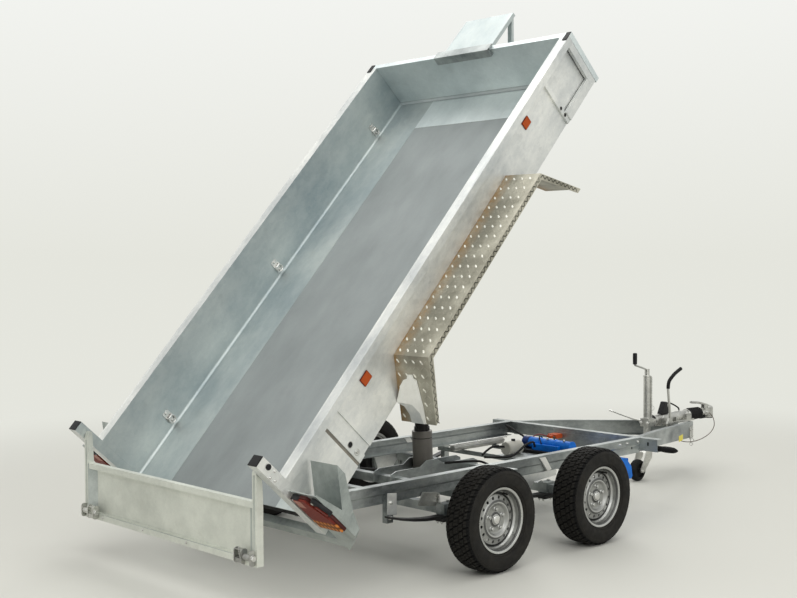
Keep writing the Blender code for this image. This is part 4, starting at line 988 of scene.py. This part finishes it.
def lamp_details():
    """Tail lamps in three lenses with a rubber edge, and the long oval marker lamps."""
    outer, back = RAIL_OUTER + 0.191, -0.132
    lean = math.atan2(0.0716, 0.137)

    def oval(length, width, along=0.0, across=0.0, steps=10):
        pts = []
        for sign in (1, -1):
            for k in range(steps + 1):
                angle = math.pi * k / steps + (0 if sign > 0 else math.pi)
                long = along + (length - width) * sign + width * math.sin(angle)
                wide = width * math.cos(angle) + across
                pts.append((outer - 0.0195 + wide * math.cos(lean) - long * math.sin(lean),
                            0.1975 + wide * math.sin(lean) + long * math.cos(lean)))
        return pts

    face = [(outer - 0.172, 0.257), (outer - 0.075, 0.257), (outer - 0.0034, 0.12), (outer - 0.0034, 0.014),
            (outer - 0.172, 0.014)]
    lens = shrunk(face, 0.004)
    low = [(outer - 0.168, 0.081), (outer - 0.0074, 0.081), (outer - 0.0074, 0.018), (outer - 0.168, 0.018)]
    high = [lens[0], lens[1], lens[2], (outer - 0.0074, 0.0815), (outer - 0.168, 0.0815)]
    for word, add in both_sides("bed", on_bed):
        add("tail_base", "deep_red", [prism(face, "X", -0.15, back - 0.001)], bevel=0.0012,
            replaces=("tail_lamp_" + word,))
        corner = [(outer - 0.1715, 0.2574), (outer - 0.118, 0.2574), (outer - 0.124, 0.249),
                  (outer - 0.1715, 0.249)]
        add("lamp_corner", "black", [prism(corner, "X", -0.161, -0.133)], bevel=0.0012)
        add("tail_lens", "red_lens", [prism(high, "X", -0.1618, -0.1495)], bevel=0.0026, segments=3)
        add("turn_lens", "orange_lens", [prism(low, "X", -0.1614, -0.1495)], bevel=0.0026, segments=3)
        patch = rounded(outer - 0.136, 0.218, 0.026, 0.028, 0.005)
        add("back_lens", "clear_lens", [prism(patch, "X", -0.162, -0.16)], bevel=0.0008)
        rim = [prism(oval(0.0585, 0.0185, across=0.006), "X", -0.15, back - 0.0016),
               prism(oval(0.0565, 0.0165, across=0.006), "X", -0.1545, -0.1475)]
        add("marker_base", "black", rim, bevel=0.0022, segments=3, replaces=("marker_lamp_" + word,))
        add("marker_lens", "red_lens", [prism(oval(0.037, 0.011, -0.012, -0.001), "X", -0.16, -0.154)],
            bevel=0.0026, segments=3)
        dot = oval(0.007, 0.0065, 0.044, 0.005)
        add("marker_dot", "white", [prism(dot, "X", -0.159, -0.1555)], bevel=0.0014)
        screws = []
        for v, w in ((outer - 0.16, 0.25), (outer - 0.014, 0.024)):
            screws.append(spun((-0.1612, v, w), "-X", [(0.0, 0.0036), (0.0012, 0.0034), (0.0018, 0.002)],
                               16))
        add("lamp_screws", "bolt", screws)


# Chassis

def chassis_details():
    for _, add in both_sides("chassis", at):
        ties, nuts = [], []
        tie = ((0.6085, 0.216), (0.6085, 0.309), (0.613, 0.3195), (0.623, 0.3225), (0.633, 0.3195),
               (0.6375, 0.309), (0.6375, 0.216))
        for _, x in AXLES:
            for dx in (-0.034, 0.034):
                ties.append(sweep([(x + dx, y, z) for y, z in tie], 0.0045, 10))
                for y in (0.6085, 0.6375):
                    nuts += bolt((x + dx, y, 0.2182), (0, 0, -1), 0.015, 0.008, 0.006)
        for x in (-0.4, 0.4415, 1.283):
            for z in (0.29, 0.372):
                nuts += bolt((x, 0.6125, z), (0, 1, 0), 0.018, 0.01, 0.006)
        add("spring_ties", "bolt", ties)
        add("spring_nuts", "bolt", nuts, bevel=0.0004)
        gusset = [(0.87, 0.453), (0.925, 0.453), (0.985, 0.372), (0.945, 0.366)]
        add("gusset", "white_zinc", [prism(gusset, "Y", 0.5785, 0.5935)], bevel=0.0012)
        plates = [box(0.395, 0.5, 0.578, 0.612, 0.244, 0.261),
                  prism([(-0.171, 0.318), (-0.133, 0.388), (-0.031, 0.374), (-0.031, 0.297)], "Y", 0.586,
                        0.596), prism([(-0.133, 0.387), (-0.031, 0.373), (-0.031, 0.361), (-0.133, 0.375)],
                                      "Y", 0.586, 0.604), box(-0.026, -0.012, 0.586, 0.603, 0.296, 0.366)]
        add("spring_plates", "plate", plates, bevel=0.0012)
        middle = [(0.6, 0.366), (1.03, 0.366), (1.03, 0.33), (0.82, 0.318), (0.76, 0.26), (0.64, 0.26)]
        add("middle_hanger", "zinc", [prism(middle, "Y", 0.587, 0.592)], bevel=0.001)
        hanger = [(-0.424, 0.424), (-0.357, 0.418), (-0.357, 0.3), (-0.424, 0.31)]
        add("rear_hanger", "zinc", [prism(hanger, "Y", 0.614, 0.618)], bevel=0.001)
        rivets = []
        for x in (-0.78, -0.7, 1.7, 1.78, 1.9):
            rivets += bolt((x, BEAM_OUTER + 0.0002, 0.44), (0, 1, 0), 0.013, 0.006, 0.004)
        add("beam_bolts", "bolt", rivets, bevel=0.0004)
        # Dark discs and ovals for the holes in the beams: painted shade inside them
        holes = [prism(rounded(1.845, 0.406, 0.006, 0.013, 0.0058), "Y", 0.5778, 0.5786),
                 prism(rounded(0.647, 0.426, 0.006, 0.013, 0.0058), "X", 1.929, 1.9298)]
        holes.append(rod((1.955, 0.5858, 0.408), (1.955, 0.587, 0.408), 0.013, 24))
        add("beam_holes", "rubber", holes)
    add = adder("chassis")
    # Hoses and wires between the hydraulic unit and the frame
    hoses = [[(1.905, 0.53, 0.405), (1.8, 0.47, 0.452), (1.7, 0.3, 0.44), (1.66, 0.16, 0.404),
              (1.64, 0.06, 0.38)], [(1.52, -0.02, 0.388), (1.44, -0.07, 0.43), (1.33, -0.1, 0.428),
                                    (1.235, -0.11, 0.392), (1.17, -0.11, 0.372), (1.08, -0.09, 0.374),
                                    (0.96, -0.066, 0.386)], [(1.08, 0.06, 0.372), (1.15, 0.08, 0.392),
                                                             (1.235, 0.1, 0.404), (1.3, 0.06, 0.4)],
             [(0.56, -0.095, 0.402), (0.66, -0.15, 0.404), (0.77, -0.19, 0.398), (0.83, -0.22, 0.372)]]
    shapes = [sweep(smooth_run(run, 5), 0.0075, 10) for run in hoses]
    add("hoses", "rubber", shapes)
    wires = [[(1.57, -0.18, 0.4), (1.6, -0.12, 0.444), (1.68, -0.06, 0.442), (1.76, 0.01, 0.412),
              (1.85, 0.06, 0.4)], [(1.54, -0.06, 0.405), (1.58, -0.01, 0.444), (1.66, 0.03, 0.428),
                                   (1.7, 0.06, 0.39)]]
    add("wires", "rubber", [sweep(smooth_run(run, 5), 0.0042, 8) for run in wires])
    red = [(1.85, 0.11, 0.4), (1.8, 0.17, 0.42), (1.76, 0.2, 0.398), (1.7, 0.18, 0.376), (1.66, 0.12, 0.37)]
    add("red_lead", "red_wire", [sweep(smooth_run(red, 5), 0.0042, 8)])
    add("orange_plug", "orange", [box(1.842, 1.922, 0.058, 0.13, 0.393, 0.424),
                                  box(1.812, 1.843, 0.074, 0.114, 0.398, 0.419)], bevel=0.003)
    unit = []
    for y in (-0.286, -0.15, -0.02, 0.09):
        unit.append(spun((1.59, y, 0.4002), "Y", [(0.0, 0.0372), (0.0015, 0.0392), (0.0085, 0.0392),
                                                  (0.01, 0.0372)], 32))
    add("motor_bands", "blue", unit)
    add("motor_cap", "deep_blue", [spun((1.59, 0.07, 0.4002), "Y",
                                        [(0.0, 0.0385), (0.002, 0.04), (0.048, 0.04), (0.056, 0.034),
                                         (0.058, 0.02)], 32)])
    terminals = []
    for y in (-0.23, -0.09):
        terminals.append(spun((1.57, y, 0.436), "Z", [(0.0, 0.008), (0.01, 0.0076), (0.012, 0.004)], 16))
    add("terminals", "bolt", terminals)
    tank = [spun((1.315, 0.06, 0.3861), "X", [(-0.006, 0.03), (-0.003, 0.043), (0.004, 0.0458),
                                              (0.012, 0.0458), (0.015, 0.0453), (0.12, 0.0453),
                                              (0.123, 0.046), (0.131, 0.046), (0.137, 0.043),
                                              (0.1395, 0.03)], 40)]
    add("tank_shell", "white", tank, replaces=("oil_tank",), sharp=50.0)
    add("tank_cap", "black", [spun((1.39, 0.06, 0.43), "Z", [(0.0, 0.014), (0.012, 0.014), (0.014, 0.012)],
                                   20)])
    tube = [spun((1.08, 0.33, 0.385), "X", [(-0.004, 0.012), (0.0, 0.0222), (0.016, 0.0232), (0.03, 0.0232),
                                            (0.034, 0.0221), (0.47, 0.0221), (0.474, 0.0232), (0.5, 0.0232),
                                            (0.512, 0.016), (0.522, 0.012)], 32)]
    add("cylinder_shell", "plate", tube, replaces=("spare_cylinder",), sharp=50.0)
    add("cylinder_rod", "bolt", [rod((1.02, 0.3, 0.413), (1.6, 0.3, 0.413), 0.006, 14)])
    piece("barrel_jacket", "ram_barrel", "ram_grey", ram_ring(-0.035, 0.205, 0.0438, 0.062), bevel=0.003)
    piece("barrel_sleeve", "ram_barrel", "ram_dark", ram_ring(0.204, 0.23, 0.0438, 0.048), bevel=0.001)
    piece("jacket_seam", "ram_barrel", "ram_dark", ram_ring(0.16, 0.164, 0.06, 0.0624))


def ram_ring(low, high, inside, outside, sides=40):
    """Open ring round the ram, whose axis leans from the trunnions to the eye."""
    lean = math.radians(RAM_LEAN_DEG)
    axis = Vector((math.sin(lean), 0.0, math.cos(lean)))
    base = Vector(RAM_FOOT)
    profile = [(low, inside), (low, outside), (high, outside), (high, inside)]
    return [spun(base, base + axis, profile, sides, joined=True)]


# Drawbar

def front_details():
    add = adder("chassis")
    z = COUPLING_Z
    add("crank_grip", "black", [spun((2.655, -0.04, 0.8695), "Z",
                                     [(0.0, 0.012), (0.002, 0.0152), (0.02, 0.0158), (0.05, 0.0162),
                                      (0.08, 0.0158), (0.084, 0.013), (0.085, 0.006)], 24)])
    bands = []
    for low, high, radius in ((0.446, 0.462, 0.029), (0.56, 0.566, 0.0275), (0.766, 0.778, 0.029)):
        bands.append(spun((*COLUMN, low), "Z", band(high - low, radius), 32))
    add("column_bands", "plate", bands)
    teeth = []
    for k in range(27):
        low = 0.448 + 0.0118 * k
        teeth.append(box(2.826, 2.84, -0.07, -0.056, low, low + 0.0064))
    teeth.append(box(2.825, 2.837, -0.066, -0.055, 0.44, 0.772))
    add("column_teeth", "plate", teeth, bevel=0.001)
    clamp = [spun((2.8, 0.0, 0.436), "Y", [(0.0, 0.01), (0.02, 0.01)], 16)]
    clamp.append(spun((2.792, 0.255, 0.481), (2.79, 0.3, 0.494),
                      [(0.0, 0.005), (0.004, 0.0085), (0.03, 0.0085), (0.034, 0.005)], 16))
    for dy in (-0.028, 0.028):
        clamp += bolt((2.778, -0.04 + dy, 0.425), (-1, 0, 0), 0.016, 0.009, 0.006)
    add("clamp_parts", "bolt", clamp, bevel=0.0005)
    add("clip_ring", "bolt", [loop((2.838, -0.062, 0.532), (1.0, 0.6, 0.0), 0.02, 0.0018, 28, 8)])
    grip = smooth_run([(3.0172, -0.09, 0.664), (3.0215, -0.09, 0.697), (3.038, -0.09, 0.728),
                       (3.105, -0.09, 0.772), (3.182, -0.09, 0.803), (3.19, -0.09, 0.806)], 5)
    sizes = [0.0125] + [0.0138 if k % 2 else 0.0132 for k in range(len(grip) - 3)] + [0.0128, 0.007]
    add("brake_grip", "rubber", [sweep(grip, 0.0138, 16, sizes)])
    add("housing_mouth", "rubber", [spun((2.886, 0, z), "X",
                                         [(0.0, 0.036), (0.003, 0.044), (0.044, 0.045), (0.05, 0.043),
                                          (0.052, 0.0382)], 40), spun((3.41, 0, z), "X",
                                                                      [(0.0, 0.04), (0.002, 0.0452),
                                                                       (0.028, 0.0456), (0.031, 0.042)],
                                                                      40)])
    cast = []
    for x, wide, radius in ((2.955, 0.02, 0.0405), (3.12, 0.012, 0.04), (3.25, 0.012, 0.04),
                            (3.402, 0.036, 0.044)):
        cast.append(spun((x, 0, z), "X", band(wide, radius), 40))
    for x in (3.0, 3.19, 3.36):
        cast.append(prism([(x, 0.397), (x + 0.008, 0.397), (x + 0.008, 0.43), (x, 0.43)], "Y", -0.052,
                          0.052))
    add("housing_rings", "plate", cast, bevel=0.0008)
    studs = []
    for x in (3.02, 3.04, 3.345, 3.385):
        for y in (-0.048, 0.048):
            studs += bolt((x, y, 0.44 if x < 3.03 or x > 3.34 else 0.398), (0, 0, 1), 0.014, 0.008, 0.005)
    for x in (3.1, 3.3):
        studs.append(spun((x, 0.0, 0.459), "Z", [(0.0, 0.005), (0.005, 0.0046), (0.006, 0.0024),
                                                 (0.01, 0.0026)], 12))
    add("housing_studs", "bolt", studs, bevel=0.0003)
    waves = [(0.0, 0.04)]
    for k in range(7):
        x = 0.0208 * k
        waves += [(x + 0.003, 0.042), (x + 0.0085, 0.0492 - 0.0006 * k), (x + 0.0125, 0.0496 - 0.0006 * k),
                  (x + 0.0185, 0.041)]
    waves.append((0.1496, 0.04))
    add("bellows_folds", "rubber", [spun((3.4404, 0, z), "X", waves, 48)], replaces=("bellows",),
        sharp=70.0)
    head = [spun((3.59, 0, z), "X", [(0.0, 0.03), (0.004, 0.032), (0.02, 0.032), (0.024, 0.027)], 32)]
    head.append(spun((3.735, 0, z + 0.03), "Z", [(0.0, 0.035), (0.01, 0.03), (0.017, 0.018), (0.02, 0.006)],
                     32))
    for y in (-0.0165, 0.0165):
        head.append(prism([(3.65, z + 0.03), (3.7, z + 0.03), (3.694, z + 0.06), (3.66, z + 0.064)], "Y",
                          y - 0.002, y + 0.002))
    add("coupling_parts", "plate", head, bevel=0.0008)
    ties = []
    for x, out in ((3.615, 0.0255), (3.655, 0.03)):
        for way in (-1, 1):
            ties += bolt((x, way * out, z), (0, way, 0), 0.018, 0.01, 0.006)
    add("coupling_ties", "bolt", ties, bevel=0.0004)
    add("coupling_skirt", "rubber", [spun((3.735, 0, z - 0.054), "Z",
                                          [(0.0, 0.032), (0.004, 0.0352), (0.014, 0.0352)], 32),
                                     box(3.592, 3.664, -0.02, 0.02, z - 0.048, z - 0.024)], bevel=0.001)
    handle = smooth_run([(3.48, 0, z + 0.0915), (3.54, 0, z + 0.085), (3.602, 0, z + 0.0765),
                         (3.7, 0, z + 0.053)], 4)
    add("coupling_grip", "plate", [sweep(handle, 0.0095, 12)])
    # Blank label, plate and shackle on the right arm
    def arm(x, out, height):
        t = (x - ARM_ROOT[0]) / (ARM_TIP[0] - ARM_ROOT[0])
        return at(x, -(ARM_ROOT[1] + (ARM_TIP[1] - ARM_ROOT[1]) * t + out), height)

    label = prism(rounded(3.02, 0.3, 0.06, 0.022, 0.004), "Y", 0.0003, 0.0011)
    add("blank_label", "sticker", [label], arm)
    tag = prism(rounded(3.33, 0.3, 0.052, 0.048, 0.005), "Y", 0.0003, 0.0045)
    add("tip_plate", "plate", [tag], arm, bevel=0.0006)
    tag_nuts = []
    for x, height in ((3.3, 0.325), (3.36, 0.325), (3.3, 0.272), (3.36, 0.272)):
        tag_nuts += hexagon((x, 0.0044, height), (0, 1, 0), 0.013, 0.006, 0.0095)
    add("tip_nuts", "bolt", tag_nuts, arm, bevel=0.0004)
    rings = [loop((3.335, -0.102, 0.235), (0.3, 1.0, 0.0), 0.017, 0.003, 28, 8),
             loop((3.318, -0.104, 0.212), (1.0, 0.4, 0.2), 0.012, 0.0022, 24, 8)]
    add("arm_shackle", "bolt", rings)
    plug = [(0.0, 0.015), (0.006, 0.0172), (0.04, 0.018), (0.085, 0.0184), (0.11, 0.0208), (0.15, 0.0208),
            (0.178, 0.0185), (0.196, 0.012), (0.207, 0.005), (0.2095, 0.0015)]
    add("plug_sleeve", "rubber", [spun((1.958, -0.6502, 0.4002), "-Y", plug, 24)], replaces=("plug",),
        sharp=50.0)
    guard = [(3.036, z + 0.0388), (3.14, z + 0.0388), (3.114, z + 0.126), (3.104, z + 0.1305),
             (3.084, z + 0.1305)]
    add("guard_shell", "black", [prism(guard, "Y", -0.0218, 0.0218)], bevel=0.004, segments=3,
        replaces=("lever_guard",))
    add("chock_ribs", "blue", [box(x, x + 0.006, -0.644, -0.576, 0.29, 0.358) for x in (1.69, 1.706)],
        bevel=0.001)
    hub = [spun((2.69, -0.0905, 0.08), "Y", [(0.0, 0.007), (0.006, 0.012), (0.012, 0.012), (0.0125, 0.01)],
                20)]
    piece("jockey_nut", "jockey_fork", "bolt", hub)


# Studio

def studio():
    scene = bpy.context.scene
    scene.view_settings.view_transform = "Standard"
    bm = bmesh.new()
    bmesh.ops.create_grid(bm, x_segments=2, y_segments=2, size=40.0)
    mesh = bpy.data.meshes.new("studio_floor")
    bm.to_mesh(mesh)
    bm.free()
    floor = bpy.data.objects.new("studio_floor", mesh)
    scene.collection.objects.link(floor)
    look = Look("studio_floor", (0.64, 0.64, 0.59), 0.7, Specular_IOR_Level=0.25)
    reach = look.add("VectorMath", {0: look.places}, operation="LENGTH")
    glow = look.add("Emission", {"Color": (*HORIZON, 1.0)})
    fade = look.add("MapRange", {"From Min": 3.0, "From Max": 6.5, "Value": reach.outputs["Value"]},
                    interpolation_type="SMOOTHSTEP")
    mix = look.add("MixShader", {"Fac": look.sum(look.seen(), fade.outputs["Result"], "MULTIPLY"),
                                 1: look.shader.outputs["BSDF"], 2: glow.outputs["Emission"]})
    look.feed(look.tree.nodes["Material Output"].inputs["Surface"], mix.outputs["Shader"])
    mesh.materials.append(look.mat)
    world = bpy.data.worlds.new("studio")
    scene.world = world
    world.use_nodes = True
    world.node_tree.nodes.clear()
    room = Nodes(world.node_tree)
    light = room.add("Background", {"Color": (1.0, 0.995, 0.985, 1.0), "Strength": 0.56})
    # Wall seen behind the trailer: a little brighter with height
    height = room.add("SeparateXYZ", {"Vector": room.add("TexCoord").outputs["Generated"]}).outputs["Z"]
    tone = room.mix(room.ramp(height, 0.0, 0.26), HORIZON, (0.92, 0.93, 0.905))
    wall = room.add("Background", {"Color": tone, "Strength": 1.0})
    mix = room.add("MixShader", {"Fac": room.seen(), 1: light.outputs[0], 2: wall.outputs[0]})
    room.add("OutputWorld", {"Surface": mix.outputs[0]})
    lamps = (("top_lamp", (0.5, 0.5, 7.0), (0.0, 0.0, 0.0), 8.0, 225.0),
             ("key_lamp", (-5.5, -2.5, 6.0), (0.0, 0.0, 0.8), 6.5, 150.0),
             ("fill_lamp", (-2.0, -7.5, 4.0), (0.0, 0.0, 0.8), 6.0, 145.0),
             ("back_lamp", (4.5, 4.5, 5.5), (0.5, 0.0, 0.8), 4.0, 90.0))
    for name, spot, aim, size, power in lamps:
        data = bpy.data.lights.new(name, "AREA")
        data.shape = "DISK"
        data.size = size
        data.energy = power
        data.color = (1.0, 0.99, 0.97)
        lamp = bpy.data.objects.new(name, data)
        scene.collection.objects.link(lamp)
        lamp.location = spot
        lamp.visible_camera = False
        lamp.rotation_euler = (Vector(aim) - Vector(spot)).to_track_quat("-Z", "Y").to_euler()


aim_camera()
cable()
dress_nodes()
studio()
soften(("side_", "front_wall", "bucket_rest", "lamp_bar", "tailgate", "beam_", "drawbar_",
        "front_crossmember", "cross_bar", "ram_cradle", "axle_", "bed_bearers", "overrun_housing",
        "coupling_head", "jockey_fork", "battery_box", "wheel_chock", "unit_tray", "mudguard_",
        "leaf_springs_"), SOFT_EDGE)
wheel_set()
lozenges()
tub_details()
gate_details()
lamp_details()
chassis_details()
front_details()
